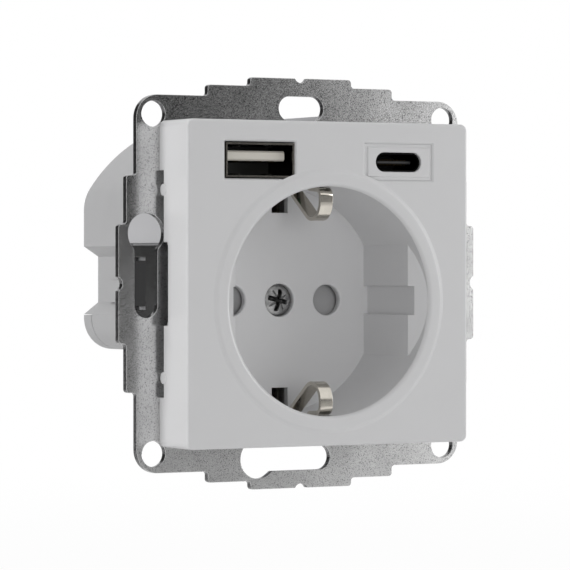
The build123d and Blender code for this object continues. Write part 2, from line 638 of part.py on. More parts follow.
# Rear housing
with BuildPart() as rear_housing:
    add(rear_block.part)
    # Latch rib on each side of the waist
    with BuildSketch(facing(waist_rib_end)):
        with Locations((0, waist_rib_z)):
            Rectangle(2 * (waist_half + waist_rib_proud), 2 * waist_rib_half)
    extrude(amount=waist_rib_end - base_depth)
    with BuildSketch(facing(y_rear)):
        with Locations((0, cap_top)):
            Rectangle(cavity, cavity, align=(Align.CENTER, Align.MAX))
    extrude(amount=cap_depth, mode=Mode.SUBTRACT)
    with BuildSketch(facing(y_cap)):
        add(rear_inside.sketch)
    extrude(amount=y_cap - base_depth, mode=Mode.SUBTRACT)
    with BuildSketch(facing(y_rear - housing_wall)):
        add(rear_inside.sketch)
        with Locations((0, cap_top + housing_wall)):
            Rectangle(cavity, cavity, align=(Align.CENTER, Align.MIN), mode=Mode.INTERSECT)
    extrude(amount=cap_depth, mode=Mode.SUBTRACT)
    with BuildSketch(facing(y_rear - housing_wall)):
        with Locations((-housing_screw_x, housing_screw_z), (housing_screw_x, housing_screw_z)):
            Circle(housing_boss_r)
    extrude(amount=y_rear - housing_wall - base_depth)
    with BuildSketch(facing(y_rear)):
        with Locations((-housing_screw_x, housing_screw_z), (housing_screw_x, housing_screw_z)):
            Circle(housing_head_r + head_clearance)
    extrude(amount=housing_head_sunk + housing_head_height, mode=Mode.SUBTRACT)
    with BuildSketch(facing(y_rear)):
        with Locations((-housing_screw_x, housing_screw_z), (housing_screw_x, housing_screw_z)):
            Circle(housing_screw_r + shank_clearance)
    extrude(amount=y_rear - base_depth, mode=Mode.SUBTRACT)
finish(rear_housing, "rear_housing")

# Terminal cover: closes the lower bulge, with wire entries and lever windows
entries = [(x + side * entry_spread, entry_z) for x in terminal_places for side in (-1, 1)]
levers = [(x, entry_z) for x in terminal_places]
with BuildSketch() as cover_inside:
    add(rear_profile.sketch)
    with Locations((0, cap_top)):
        Rectangle(cavity, cavity, align=(Align.CENTER, Align.MAX), mode=Mode.INTERSECT)
    offset(amount=-housing_wall)
with BuildPart() as terminal_cover:
    add(rear_block.part)
    with BuildSketch(facing(y_rear)):
        with Locations((0, cap_top - cap_seam)):
            Rectangle(cavity, cavity, align=(Align.CENTER, Align.MAX))
    extrude(amount=cap_depth - cap_seam, mode=Mode.INTERSECT)
    with BuildSketch(facing(y_rear - cap_plate)):
        add(cover_inside.sketch)
    extrude(amount=cap_depth - cap_plate, mode=Mode.SUBTRACT)
    with BuildSketch(facing(y_rear - cap_plate)):
        add(cover_inside.sketch)
        with BuildSketch(mode=Mode.PRIVATE) as guides:
            with Locations(*entries):
                Circle(entry_r + guide_wall)
            with Locations(*levers):
                Rectangle(lever_width + 2 * guide_wall, lever_height + 2 * guide_wall)
        add(guides.sketch, mode=Mode.INTERSECT)
    extrude(amount=cap_depth - cap_seam - cap_plate)
    with BuildSketch(facing(y_rear)):
        with Locations(*entries):
            Circle(entry_r)
        with Locations(*levers):
            Rectangle(lever_width + 2 * lever_clearance, lever_height + 2 * lever_clearance)
    extrude(amount=cap_depth, mode=Mode.SUBTRACT)
    entry_mouths = (
        terminal_cover.edges()
        .filter_by(GeomType.CIRCLE)
        .filter_by_position(Axis.Y, y_rear - near, y_rear + near)
        .filter_by(lambda edge: abs(edge.radius - entry_r) < near)
    )
    chamfer(entry_mouths, entry_mouth)
finish(terminal_cover, "terminal_cover")

# Screws that hold the rear housing to the socket base
with BuildPart() as housing_screws:
    y_screw_seat = y_rear - housing_head_sunk - housing_head_height
    screw_places = [(-housing_screw_x, housing_screw_z), (housing_screw_x, housing_screw_z)]
    with BuildSketch(facing(y_screw_seat + housing_head_height)):
        with Locations(*screw_places):
            Circle(housing_head_r)
    extrude(amount=housing_head_height)
    chamfer(housing_screws.faces().group_by(Axis.Y)[-1].edges(), housing_head_chamfer)
    with BuildSketch(facing(y_screw_seat)):
        with Locations(*screw_places):
            Circle(housing_screw_r)
    extrude(amount=y_screw_seat - base_depth + housing_screw_grip - housing_screw_r)
    with BuildSketch(facing(y_screw_seat + housing_head_height)):
        with Locations(*screw_places):
            Rectangle(housing_recess_length, recess_width)
            Rectangle(recess_width, housing_recess_length)
    extrude(amount=recess_depth, mode=Mode.SUBTRACT)
finish(housing_screws, "housing_screws")

# Pin contacts: a slit sleeve round the plug pin, with a strap to its terminal rail
with BuildPart() as neutral_contact:
    with BuildSketch(facing(sleeve_end)):
        with Locations((pin_x, cup_z)):
            Circle(sleeve_r + sleeve_sheet)
            Circle(sleeve_r, mode=Mode.SUBTRACT)
        with Locations((pin_x - sleeve_r, cup_z)):
            Rectangle(3 * sleeve_sheet, sleeve_slit, mode=Mode.SUBTRACT)
    extrude(amount=sleeve_end - y_pocket - strap_gap)
    with BuildSketch(Plane.XY.offset(rail_z - rail_thick / 2)):
        with Locations(((pin_x - neck_width / 2), rail_start)):
            Rectangle(
                terminal_x + rail_half - pin_x + neck_width / 2,
                sleeve_end - rail_start,
                align=(Align.MIN, Align.MIN),
            )
        with Locations((terminal_x - rail_half, rail_start)):
            Rectangle(2 * rail_half, rail_end - rail_start, align=(Align.MIN, Align.MIN))
    extrude(amount=rail_thick)
    with BuildSketch(facing(sleeve_end)):
        with Locations((pin_x, rail_z)):
            Rectangle(neck_width, cup_z - sleeve_r - rail_z, align=(Align.CENTER, Align.MIN))
        with Locations((pin_x, cup_z)):
            Circle(sleeve_r, mode=Mode.SUBTRACT)
    extrude(amount=sleeve_end - rail_start)
finish(neutral_contact, "neutral_contact")

with BuildPart() as live_contact:
    mirror(neutral_contact.part, about=Plane.YZ)
finish(live_contact, "live_contact")


def clamp_spring(x):
    """Push-in clamp of one terminal: two leaves on a common bar, centred on x."""
    tip_z = rail_z - rail_thick / 2 - leaf_tip_drop
    loop_z = spring_floor + spring_loop_height
    with BuildPart() as spring:
        for side in (-1, 1):
            with BuildSketch(Plane.YZ.offset(x + side * entry_spread - leaf_width / 2)):
                with BuildLine():
                    FilletPolyline(
                        (spring_front, spring_floor),
                        (spring_loop_y, spring_floor),
                        (spring_loop_y - spring_loop_lean, loop_z),
                        (leaf_tip_y, tip_z),
                        radius=spring_bend_r,
                    )
                trace(line_width=spring_sheet)
            extrude(amount=leaf_width)
        with BuildSketch(Plane.XY.offset(spring_floor - spring_sheet / 2)):
            with Locations((x, spring_front)):
                Rectangle(
                    2 * entry_spread + leaf_width,
                    spring_bar,
                    align=(Align.CENTER, Align.MIN),
                )
        extrude(amount=spring_sheet)
    return spring


def release_lever(x):
    """Lever that opens one terminal: head in the cover's window, retaining flange, and stem."""
    with BuildPart() as lever:
        with BuildSketch(facing(y_rear + lever_proud)):
            with Locations((x, entry_z)):
                Rectangle(lever_width, lever_height)
        extrude(amount=y_rear + lever_proud - y_flange)
        fillet(lever.faces().sort_by(Axis.Y)[-1].edges(), lever_round)
        with BuildSketch(facing(y_flange)):
            with Locations((x, entry_z)):
                Rectangle(lever_width + 2 * lever_flange, lever_height)
        extrude(amount=lever_flange_thick)
        with BuildSketch(facing(y_flange - lever_flange_thick)):
            with Locations((x, entry_z)):
                Rectangle(stem_width, stem_height)
        extrude(amount=y_flange - lever_flange_thick - stem_front)
        chamfer(lever.faces().sort_by(Axis.Y)[0].edges(), stem_bevel)
    return lever


for pole, x in zip(("live", "earth", "neutral"), terminal_places):
    finish(clamp_spring(x), f"{pole}_clamp_spring")
    finish(release_lever(x), f"{pole}_release_lever")

# Shutter: two wings on a hub that turns on the cover's screw boss, with a ramp on each wing
with BuildSketch() as wing_sectors:
    with BuildLine():
        wing_tip = Vector(2 * wing_r, 0).rotate(Axis.Z, wing_half_angle)
        Polyline((0, 0), (wing_tip.X, wing_tip.Y), (wing_tip.X, -wing_tip.Y), close=True)
    make_face()
    mirror(about=Plane.YZ)
with BuildPart() as shutter:
    with BuildSketch(facing(y_shutter_back)):
        with Locations((0, cup_z)):
            Circle(wing_r)
            add(wing_sectors.sketch, mode=Mode.INTERSECT)
            Circle(hub_r)
            Circle(boss_r + hub_gap, mode=Mode.SUBTRACT)
    extrude(amount=shutter_thick)
    for side in (1, -1):
        with BuildSketch(Plane.YZ.offset(side * (hub_r + shutter_gap))):
            with BuildLine():
                Polyline(
                    (y_shutter, cup_z - side * wing_span),
                    (y_shutter, cup_z + side * wing_span),
                    (y_shutter + ramp_drop, cup_z + side * wing_span),
                    close=True,
                )
            make_face()
        extrude(amount=side * wing_r, mode=Mode.SUBTRACT)
finish(shutter, "shutter")

with BuildPart() as shutter_spring:
    with BuildLine():
        coil = Helix(
            pitch=spring_rise,
            height=spring_rise * spring_turns,
            radius=spring_coil_r,
            center=(0, y_spring, cup_z),
            direction=(0, 1, 0),
        )
    with BuildSketch(Plane(origin=coil @ 0, z_dir=coil % 0)):
        RegularPolygon(spring_wire, 5)
    sweep()
finish(shutter_spring, "shutter_spring")

# USB board, in the frame's opening just above the cup
with BuildPart() as usb_board:
    with BuildSketch(facing(y_usb_board_back)):
        with Locations((0, usb_board_bottom)):
            Rectangle(
                2 * usb_board_half,
                usb_board_top - usb_board_bottom,
                align=(Align.CENTER, Align.MIN),
            )
        with Locations((0, cup_z)):
            Circle(cup_r + cup_wall + base_gap, mode=Mode.SUBTRACT)
            Rectangle(
                clip_width + 2 * strip_gap,
                leg_outer + strip_gap,
                align=(Align.CENTER, Align.MIN),
                mode=Mode.SUBTRACT,
            )
        with Locations((0, link_z)):
            with GridLocations(link_spacing, 0, link_count, 1):
                Rectangle(link_size + 2 * link_gap, link_size + 2 * link_gap, mode=Mode.SUBTRACT)
    extrude(amount=usb_board_thick)
finish(usb_board, "usb_board")

# USB-A port: folded shell with sprung fingers, moulded tongue and contact strips
tongue_z = port_z + usb_a_tongue_rise
with BuildPart() as usb_a_shell:
    with BuildSketch(facing(y_usb_board)):
        with Locations((-port_x, port_z)):
            Rectangle(usb_a_width, usb_a_height)
            Rectangle(usb_a_width - 2 * usb_a_sheet, usb_a_height - 2 * usb_a_sheet, mode=Mode.SUBTRACT)
    extrude(amount=y_usb_board - y_port)
    with BuildSketch(Plane.XY.offset(port_z - usb_a_height)):
        with Locations(*[(-port_x + side * finger_x, finger_y) for side in (-1, 1)]):
            Rectangle(finger_width + 2 * finger_gap, finger_length)
    extrude(amount=2 * usb_a_height, mode=Mode.SUBTRACT)
    finger_root = finger_y + finger_length / 2
    finger_z = usb_a_height / 2 - usb_a_sheet / 2
    for side in (-1, 1):
        for way in (-1, 1):
            with BuildSketch(Plane.YZ.offset(-port_x + side * finger_x - finger_width / 2)):
                with BuildLine():
                    Line(
                        (finger_root + finger_gap, port_z + way * finger_z),
                        (finger_root - finger_bend_length, port_z + way * (finger_z - finger_drop)),
                    )
                trace(line_width=usb_a_sheet)
            extrude(amount=finger_width)
finish(usb_a_shell, "usb_a_shell")

with BuildPart() as usb_a_tongue:
    with BuildSketch(facing(y_usb_board)):
        with Locations((-port_x, port_z)):
            Rectangle(
                usb_a_width - 2 * usb_a_sheet - 2 * port_gap,
                usb_a_height - 2 * usb_a_sheet - 2 * port_gap,
            )
    extrude(amount=usb_a_block)
    with BuildSketch(facing(y_usb_board - usb_a_block)):
        with Locations((-port_x, tongue_z)):
            Rectangle(usb_a_tongue_width, usb_a_tongue_thick)
    extrude(amount=y_usb_board - usb_a_block - y_front - usb_a_tongue_sunk)
    chamfer(usb_a_tongue.faces().sort_by(Axis.Y)[0].edges().filter_by(Axis.X), usb_a_tongue_bevel)
finish(usb_a_tongue, "usb_a_tongue")

with BuildPart() as usb_a_contacts:
    with BuildSketch(facing(y_usb_board - usb_a_block)):
        with Locations((-port_x, tongue_z - usb_a_tongue_thick / 2)):
            with GridLocations(usb_a_contact_spacing, 0, 4, 1):
                Rectangle(usb_a_contact_width, usb_a_contact_thick, align=(Align.CENTER, Align.MAX))
    extrude(amount=y_usb_board - usb_a_block - y_front - usb_a_contact_sunk)
finish(usb_a_contacts, "usb_a_contacts")

# USB-C port: bezel, drawn shell, tongue and contacts
with BuildPart() as usb_c_bezel:
    with BuildSketch(facing(y_front + bezel_depth)):
        with Locations((port_x, port_z)):
            Rectangle(port_width - 2 * bezel_gap, port_height - 2 * bezel_gap)
    extrude(amount=bezel_depth - bezel_step)
    with BuildSketch(facing(y_front + bezel_step)):
        with Locations((port_x, port_z)):
            Rectangle(port_width - 2 * bezel_border, port_height - 2 * bezel_border)
    extrude(amount=bezel_step - port_sunk)
    with BuildSketch(facing(y_front + bezel_depth)):
        with Locations((port_x, port_z)):
            SlotOverall(usb_c_width + 2 * port_gap, usb_c_height + 2 * port_gap)
    extrude(amount=bezel_depth, mode=Mode.SUBTRACT)
    chamfer(usb_c_bezel.faces().sort_by(Axis.Y)[0].edges(), bezel_bevel)
finish(usb_c_bezel, "usb_c_bezel")

with BuildPart() as usb_c_shell:
    with BuildSketch(facing(y_usb_board)):
        with Locations((port_x, port_z)):
            SlotOverall(usb_c_width, usb_c_height)
            SlotOverall(usb_c_width - 2 * usb_c_sheet, usb_c_height - 2 * usb_c_sheet, mode=Mode.SUBTRACT)
    extrude(amount=y_usb_board - y_front - usb_c_sunk)
    chamfer(usb_c_shell.faces().sort_by(Axis.Y)[0].edges(), usb_c_bevel)
finish(usb_c_shell, "usb_c_shell")

with BuildPart() as usb_c_tongue:
    with BuildSketch(facing(y_usb_board)):
        with Locations((port_x, port_z)):
            SlotOverall(
                usb_c_width - 2 * usb_c_sheet - 2 * port_gap,
                usb_c_height - 2 * usb_c_sheet - 2 * port_gap,
            )
    extrude(amount=usb_c_block)
    with BuildSketch(facing(y_usb_board - usb_c_block)):
        with Locations((port_x, port_z)):
            Rectangle(usb_c_tongue_width, usb_c_tongue_thick)
    extrude(amount=y_usb_board - usb_c_block - y_front - usb_c_sunk - usb_c_tongue_sunk)
    chamfer(usb_c_tongue.faces().sort_by(Axis.Y)[0].edges().filter_by(Axis.X), usb_c_tongue_bevel)
finish(usb_c_tongue, "usb_c_tongue")

with BuildPart() as usb_c_contacts:
    for way in (-1, 1):
        with BuildSketch(facing(y_usb_board - usb_c_block)):
            with Locations((port_x, port_z + way * (usb_c_tongue_thick + usb_c_contact_thick) / 2)):
                with GridLocations(usb_c_contact_spacing, 0, usb_c_contact_count, 1):
                    Rectangle(usb_c_contact_width, usb_c_contact_thick)
        extrude(amount=y_usb_board - usb_c_block - y_front - usb_c_contact_sunk)
finish(usb_c_contacts, "usb_c_contacts")

# Power board and its parts, on posts behind the socket base
with BuildPart() as power_board:
    with BuildSketch(facing(y_board_back)):
        with Locations((0, board_bottom)):
            Rectangle(2 * board_half, board_top - board_bottom, align=(Align.CENTER, Align.MIN))
        Circle(box_r - housing_wall - board_edge_gap, mode=Mode.INTERSECT)
        with Locations(*post_places):
            Circle(post_screw_r + lever_clearance, mode=Mode.SUBTRACT)
        with Locations((0, link_z)):
            with GridLocations(link_spacing, 0, link_count, 1):
                Rectangle(link_size + 2 * link_gap, link_size + 2 * link_gap, mode=Mode.SUBTRACT)
    extrude(amount=board_thick)
finish(power_board, "power_board")

with BuildPart() as board_screws:
    with BuildSketch(facing(y_board_back + post_screw_head)):
        with Locations(*post_places):
            Circle(post_screw_head_r)
    extrude(amount=post_screw_head)
    chamfer(board_screws.faces().group_by(Axis.Y)[-1].edges(), post_screw_chamfer)
    with BuildSketch(facing(y_board_back)):
        with Locations(*post_places):
            Circle(post_screw_r)
    extrude(amount=board_thick + post_screw_grip - post_screw_r)
finish(board_screws, "board_screws")

with BuildPart() as link_header:
    with BuildSketch(facing(board_y)):
        with Locations((0, link_z)):
            Rectangle(link_count * link_spacing + link_spacing / 2, link_passage_height - 2 * link_gap)
    extrude(amount=board_y - base_depth)
    with BuildSketch(facing(y_board_back + link_tail)):
        with Locations((0, link_z)):
            with GridLocations(link_spacing, 0, link_count, 1):
                Rectangle(link_size, link_size)
    extrude(amount=y_board_back + link_tail - y_usb_board + link_tail)
finish(link_header, "link_header")

# Transformer: coil former between the cheeks of a ferrite core
with BuildPart() as transformer_core:
    with BuildSketch(Plane.YZ.offset(core_x - core_width / 2)):
        with Locations((y_board_back, core_z)):
            Rectangle(core_height, core_depth, align=(Align.MIN, Align.CENTER))
        with Locations(*[(y_board_back + core_height / 2, core_z + way * window_rho) for way in (-1, 1)]):
            Rectangle(core_height - 2 * core_web, window_width, mode=Mode.SUBTRACT)
    extrude(amount=core_width)
    fillet(transformer_core.edges().filter_by(Axis.X), core_round)
finish(transformer_core, "transformer_core")

with BuildPart() as transformer_coil:
    with BuildSketch(facing(y_board_back + core_web + coil_gap)):
        with Locations((core_x, core_z)):
            Rectangle(core_width + 2 * coil_overhang, 2 * window_rho + window_width - 2 * coil_gap)
            Rectangle(
                core_width + 2 * coil_gap,
                2 * window_rho - window_width + 2 * coil_gap,
                mode=Mode.SUBTRACT,
            )
    extrude(amount=-(core_height - 2 * core_web - 2 * coil_gap))
finish(transformer_coil, "transformer_coil")


def can_capacitor(x, z, radius, height):
    """Electrolytic capacitor standing on the power board, with a rolled groove near its seal."""
    with BuildPart() as can:
        with BuildSketch(facing(y_board_back + height)):
            with Locations((x, z)):
                Circle(radius)
        extrude(amount=height)
        chamfer(can.faces().sort_by(Axis.Y)[-1].edges(), can_bevel)
        with BuildSketch(facing(y_board_back + can_groove_at)):
            with Locations((x, z)):
                Circle(radius + cut_past)
                Circle(radius - can_groove, mode=Mode.SUBTRACT)
        extrude(amount=2 * can_groove, mode=Mode.SUBTRACT)
    return can


finish(can_capacitor(*input_can), "input_capacitor")
finish(can_capacitor(*output_can), "output_capacitor")
finish(can_capacitor(*choke_can), "choke")

with BuildPart() as fuse_resistor:
    with BuildSketch(facing(y_board_back + fuse_height)):
        with Locations((fuse_x, low_row_z)):
            Circle(fuse_r)
    extrude(amount=fuse_height)
    chamfer(fuse_resistor.faces().sort_by(Axis.Y)[-1].edges(), can_bevel)
finish(fuse_resistor, "fuse_resistor")

with BuildPart() as varistor:
    with BuildSketch(Plane.XY.offset(low_row_z - varistor_thick / 2)):
        with Locations((varistor_x, y_board_back + varistor_r)):
            Circle(varistor_r)
        with Locations((varistor_x, y_board_back)):
            Rectangle(varistor_r, varistor_r, align=(Align.CENTER, Align.MIN))
    extrude(amount=varistor_thick)
finish(varistor, "varistor")

with BuildPart() as rectifier:
    with BuildSketch(facing(y_board_back + chip_height)):
        with Locations(rectifier_place):
            Rectangle(chip_length, chip_width)
    extrude(amount=chip_height)
    chamfer(rectifier.faces().sort_by(Axis.Y)[-1].edges(), chip_bevel)
finish(rectifier, "rectifier")

with BuildPart() as controller_chip:
    with BuildSketch(facing(board_y)):
        with Locations(controller_place):
            Rectangle(chip_length, chip_width)
    extrude(amount=chip_height)
    chamfer(controller_chip.faces().sort_by(Axis.Y)[0].edges(), chip_bevel)
finish(controller_chip, "controller_chip")

# Leads from the contact sleeves to the power board
with BuildPart() as neutral_lead:
    lead_start_z = cup_z + sleeve_r + sleeve_sheet + thread_clearance
    with BuildLine():
        FilletPolyline(
            (pin_x, lead_y, lead_start_z),
            (pin_x, lead_y, low_row_z),
            (pin_x, y_board_back, low_row_z),
            radius=lead_bend_r,
        )
    with BuildSketch(Plane.XY.offset(lead_start_z)):
        with Locations((pin_x, lead_y)):
            RegularPolygon(lead_r, 8)
    sweep()
finish(neutral_lead, "neutral_lead")

with BuildPart() as live_lead:
    mirror(neutral_lead.part, about=Plane.YZ)
finish(live_lead, "live_lead")
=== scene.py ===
"""Looks of a flush-mounted earthed wall socket with a USB-A and a USB-C port.

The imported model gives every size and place. Each sub-assembly is a class that takes its CAD
nodes, gives their edges the small radii of the real parts, and dresses them in a finish.
Everything is in metres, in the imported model's frame: X right, Z up, the front faces -Y.
"""

import json
import logging
import math
from collections.abc import Callable
from dataclasses import dataclass, field
from enum import Enum

import bmesh
import bpy
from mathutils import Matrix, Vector
from mathutils.geometry import area_tri, delaunay_2d_cdt

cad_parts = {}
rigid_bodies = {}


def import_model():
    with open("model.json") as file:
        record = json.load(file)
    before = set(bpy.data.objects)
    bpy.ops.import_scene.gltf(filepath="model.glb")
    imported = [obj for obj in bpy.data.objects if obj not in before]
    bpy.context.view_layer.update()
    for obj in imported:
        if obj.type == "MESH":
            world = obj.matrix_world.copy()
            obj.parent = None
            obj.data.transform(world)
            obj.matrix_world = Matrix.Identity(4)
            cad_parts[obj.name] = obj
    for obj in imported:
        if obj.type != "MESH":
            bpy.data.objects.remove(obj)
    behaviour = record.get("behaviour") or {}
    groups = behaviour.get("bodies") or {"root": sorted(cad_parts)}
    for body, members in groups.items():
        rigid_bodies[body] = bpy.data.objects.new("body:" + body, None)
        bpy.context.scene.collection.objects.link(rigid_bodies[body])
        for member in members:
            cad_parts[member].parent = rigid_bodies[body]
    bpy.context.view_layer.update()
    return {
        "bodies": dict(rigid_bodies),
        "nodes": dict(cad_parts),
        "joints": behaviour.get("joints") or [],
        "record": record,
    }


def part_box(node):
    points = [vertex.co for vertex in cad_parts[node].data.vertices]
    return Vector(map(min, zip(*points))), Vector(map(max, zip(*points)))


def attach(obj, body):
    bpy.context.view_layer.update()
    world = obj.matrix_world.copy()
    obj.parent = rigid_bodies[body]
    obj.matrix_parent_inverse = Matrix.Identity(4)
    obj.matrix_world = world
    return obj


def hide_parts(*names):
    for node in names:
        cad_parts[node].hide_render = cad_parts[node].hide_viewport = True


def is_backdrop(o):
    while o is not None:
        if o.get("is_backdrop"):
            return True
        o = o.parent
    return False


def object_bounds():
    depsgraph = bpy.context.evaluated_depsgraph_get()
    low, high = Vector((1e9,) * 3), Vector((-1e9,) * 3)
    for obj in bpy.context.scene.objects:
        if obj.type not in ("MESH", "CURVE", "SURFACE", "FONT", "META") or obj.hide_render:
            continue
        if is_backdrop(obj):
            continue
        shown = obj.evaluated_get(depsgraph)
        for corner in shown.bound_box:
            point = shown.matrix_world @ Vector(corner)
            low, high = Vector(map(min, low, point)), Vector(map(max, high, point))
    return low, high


MM = 0.001
NEAR = 0.05 * MM  # Points closer than this count as one place.
NOISE_SPAN = (0.25, 0.75)  # Most of a noise's values lie between these.
log = logging.getLogger("wall_socket")

Colour = tuple[float, float, float]
Socket = bpy.types.NodeSocket
Level = float | Socket
WorkMesh = bmesh.types.BMesh


def tone(red: int, green: int, blue: int) -> Colour:
    """Turn a display colour into the linear values that shaders take.

    Args:
        red: Display red, 0 to 255.
        green: Display green, 0 to 255.
        blue: Display blue, 0 to 255.

    Returns:
        The three linear values, 0 to 1.
    """
    knee, slope, lift, power = 0.04045, 12.92, 0.055, 2.4
    shares = (red / 255, green / 255, blue / 255)
    return tuple(s / slope if s <= knee else ((s + lift) / (1 + lift)) ** power for s in shares)


class Nodes:
    """A node tree, with short calls to add nodes and join them."""

    def __init__(self, tree: bpy.types.NodeTree) -> None:
        """Keep the tree."""
        self.tree = tree

    def add(self, kind: str, **settings: object) -> bpy.types.Node:
        """Add a node.

        Args:
            kind: Blender's name of the node's type.
            **settings: Attributes of the node to set.

        Returns:
            The new node.
        """
        node = self.tree.nodes.new(kind)
        for key, value in settings.items():
            setattr(node, key, value)
        return node

    def join(self, source: Level, target: Socket) -> None:
        """Link an output to an input, or set the input to a number.

        Args:
            source: The output or the number.
            target: The input.
        """
        if isinstance(source, float):
            target.default_value = source
        else:
            self.tree.links.new(source, target)

    def calc(self, operation: str, *values: Level) -> Socket:
        """Add a math node.

        Args:
            operation: Blender's name of what it does.
            *values: The outputs or numbers it works on.

        Returns:
            The result's output.
        """
        node = self.add("ShaderNodeMath", operation=operation)
        for value, target in zip(values, node.inputs):
            self.join(value, target)
        return node.outputs[0]

    def mixed(self, factor: Level, low: Level, high: Level, **settings: str) -> Socket:
        """Add a node that goes from one level or colour to another by a factor.

        Args:
            factor: The factor, an output or a number.
            low: What it gives at 0.
            high: What it gives at 1.
            **settings: Attributes of the node to set.

        Returns:
            The result's output.
        """
        mix = self.add("ShaderNodeMix", **settings)
        for name, level in (("Factor", factor), ("A", low), ("B", high)):
            self.join(level, mix.inputs[name])
        return mix.outputs["Result"]

    def mapped(self, value: Socket, start: float, end: float, low: float, high: float,
               curve: str = "SMOOTHSTEP") -> Socket:
        """Map a value from one range onto another.

        Args:
            value: The output to map.
            start: The value that gives the low result.
            end: The value that gives the high result.
            low: Result at the start and beyond it.
            high: Result at the end and beyond it.
            curve: Blender's name of the curve between them.

        Returns:
            The result's output.
        """
        node = self.add("ShaderNodeMapRange", interpolation_type=curve)
        for name, number in zip(("From Min", "From Max", "To Min", "To Max"), (start, end, low, high)):
            node.inputs[name].default_value = number
        self.join(value, node.inputs["Value"])
        return node.outputs["Result"]

    def axis(self, source: Socket, name: str) -> Socket:
        """Take one part of a vector.

        Args:
            source: The vector's output.
            name: X, Y or Z.

        Returns:
            The part's output.
        """
        parts = self.add("ShaderNodeSeparateXYZ")
        self.join(source, parts.inputs["Vector"])
        return parts.outputs[name]


class Wiring(Nodes):
    """A material's node tree, with one surface shader."""

    def __init__(self, name: str) -> None:
        """Start a material.

        Args:
            name: The material's name.
        """
        self.material = bpy.data.materials.new(name)
        self.material.use_nodes = True
        super().__init__(self.material.node_tree)
        self.shader = self.tree.nodes["Principled BSDF"]
        self.place = self.add("ShaderNodeTexCoord").outputs["Object"]

    def noise(self, grain: float, detail: float = 2.0, stretch: Colour = (1, 1, 1)) -> Socket:
        """Add a noise whose features are about as wide as asked.

        Args:
            grain: Width of one feature.
            detail: How many finer layers lie on it.
            stretch: How much longer the features are along X, Y and Z.

        Returns:
            The noise's value output, 0 to 1.
        """
        mapping = self.add("ShaderNodeMapping")
        mapping.inputs["Scale"].default_value = [1 / s for s in stretch]
        noise = self.add("ShaderNodeTexNoise")
        noise.inputs["Scale"].default_value = 1 / grain
        noise.inputs["Detail"].default_value = detail
        self.join(self.place, mapping.inputs["Vector"])
        self.join(mapping.outputs["Vector"], noise.inputs["Vector"])
        return noise.outputs["Fac"]

    def ramp(self, value: Socket, *stops: tuple[float, Colour]) -> Socket:
        """Map a value to colours.

        Args:
            value: The output that drives the ramp.
            *stops: Pairs of place and linear colour, from low to high.

        Returns:
            The ramp's colour output.
        """
        ramp = self.add("ShaderNodeValToRGB")
        for element, (place, colour) in zip(ramp.color_ramp.elements, stops):
            element.position = place
            element.color = (*colour, 1)
        self.join(value, ramp.inputs["Fac"])
        return ramp.outputs["Color"]

    def times(self, colour: Socket, share: Socket) -> Socket:
        """Multiply a colour by a value or another colour."""
        return self.mixed(1.0, colour, share, data_type="RGBA", blend_type="MULTIPLY")

    def paint(self, colour: Colour, wander: float, noise: Socket, painted_shade: "PaintedDepthShade | None") -> None:
        """Colour the surface.

        Args:
            colour: Linear colour.
            wander: How far it wanders with a noise, as a share.
            noise: The noise's output.
            painted_shade: Painted shade that darkens it with depth, if any.
        """
        tint = self.ramp(noise, (0.3, shade(colour, 1 - wander)), (0.7, shade(colour, 1 + wander)))
        if painted_shade:
            tint = painted_shade.over(self, tint)
        self.join(tint, self.shader.inputs["Base Color"])

    def gloss(self, noise: Socket, middle: float, shares: tuple[float, float]) -> None:
        """Let the roughness wander with a noise.

        Args:
            noise: The noise's output.
            middle: The middle roughness.
            shares: Shares of it on the smoothest and on the roughest spots.
        """
        low, high = (middle * share for share in shares)
        self.join(self.mapped(noise, *NOISE_SPAN, low, high, "LINEAR"), self.shader.inputs["Roughness"])

    def flat_share(self, rear: float) -> Socket:
        """Give 1 on faces that look to the front or rear, and 0 on the edges round them.

        Args:
            rear: Depth (Y) from which every face counts as such.

        Returns:
            The share's output.
        """
        edge_tilt, face_tilt, fade = 0.35, 0.75, 0.3 * MM
        normal = self.add("ShaderNodeTexCoord").outputs["Normal"]
        tilt = self.calc("ABSOLUTE", self.axis(normal, "Y"))
        behind = self.mapped(self.axis(self.place, "Y"), rear, rear + fade, 0.0, 1.0)
        return self.calc("MAXIMUM", self.mapped(tilt, edge_tilt, face_tilt, 0.0, 1.0), behind)

    def relief(self, *layers: tuple[Socket, float, float]) -> None:
        """Put relief on the surface, one layer on the next.

        Args:
            *layers: The driving output, the layer's height, and its strength.
        """
        last = None
        for value, height, strength in layers:
            bump = self.add("ShaderNodeBump")
            bump.inputs["Distance"].default_value = height
            bump.inputs["Strength"].default_value = strength
            self.join(value, bump.inputs["Height"])
            if last:
                self.join(last, bump.inputs["Normal"])
            last = bump.outputs["Normal"]
        self.join(last, self.shader.inputs["Normal"])


def shade(colour: Colour, share: float) -> Colour:
    """Scale a linear colour by a share of its own brightness."""
    return tuple(min(1.0, c * share) for c in colour)


@dataclass(frozen=True)
class PaintedDepthShade:
    """Painted shade that darkens a colour with depth along the socket, where less light reaches inside a
    recess or port.

    Attributes:
        unshaded: Depth (Y) up to which the surface has no painted shade.
        dark: Depth from which it is darkest.
        share: Share of the brightness that is left there.
    """

    unshaded: float
    dark: float
    share: float

    def over(self, wires: Wiring, colour: Socket) -> Socket:
        """Darken a colour with the painted shade by depth and give the new colour's output."""
        depth = wires.axis(wires.place, "Y")
        return wires.times(colour, wires.mapped(depth, self.unshaded, self.dark, 1.0, self.share))


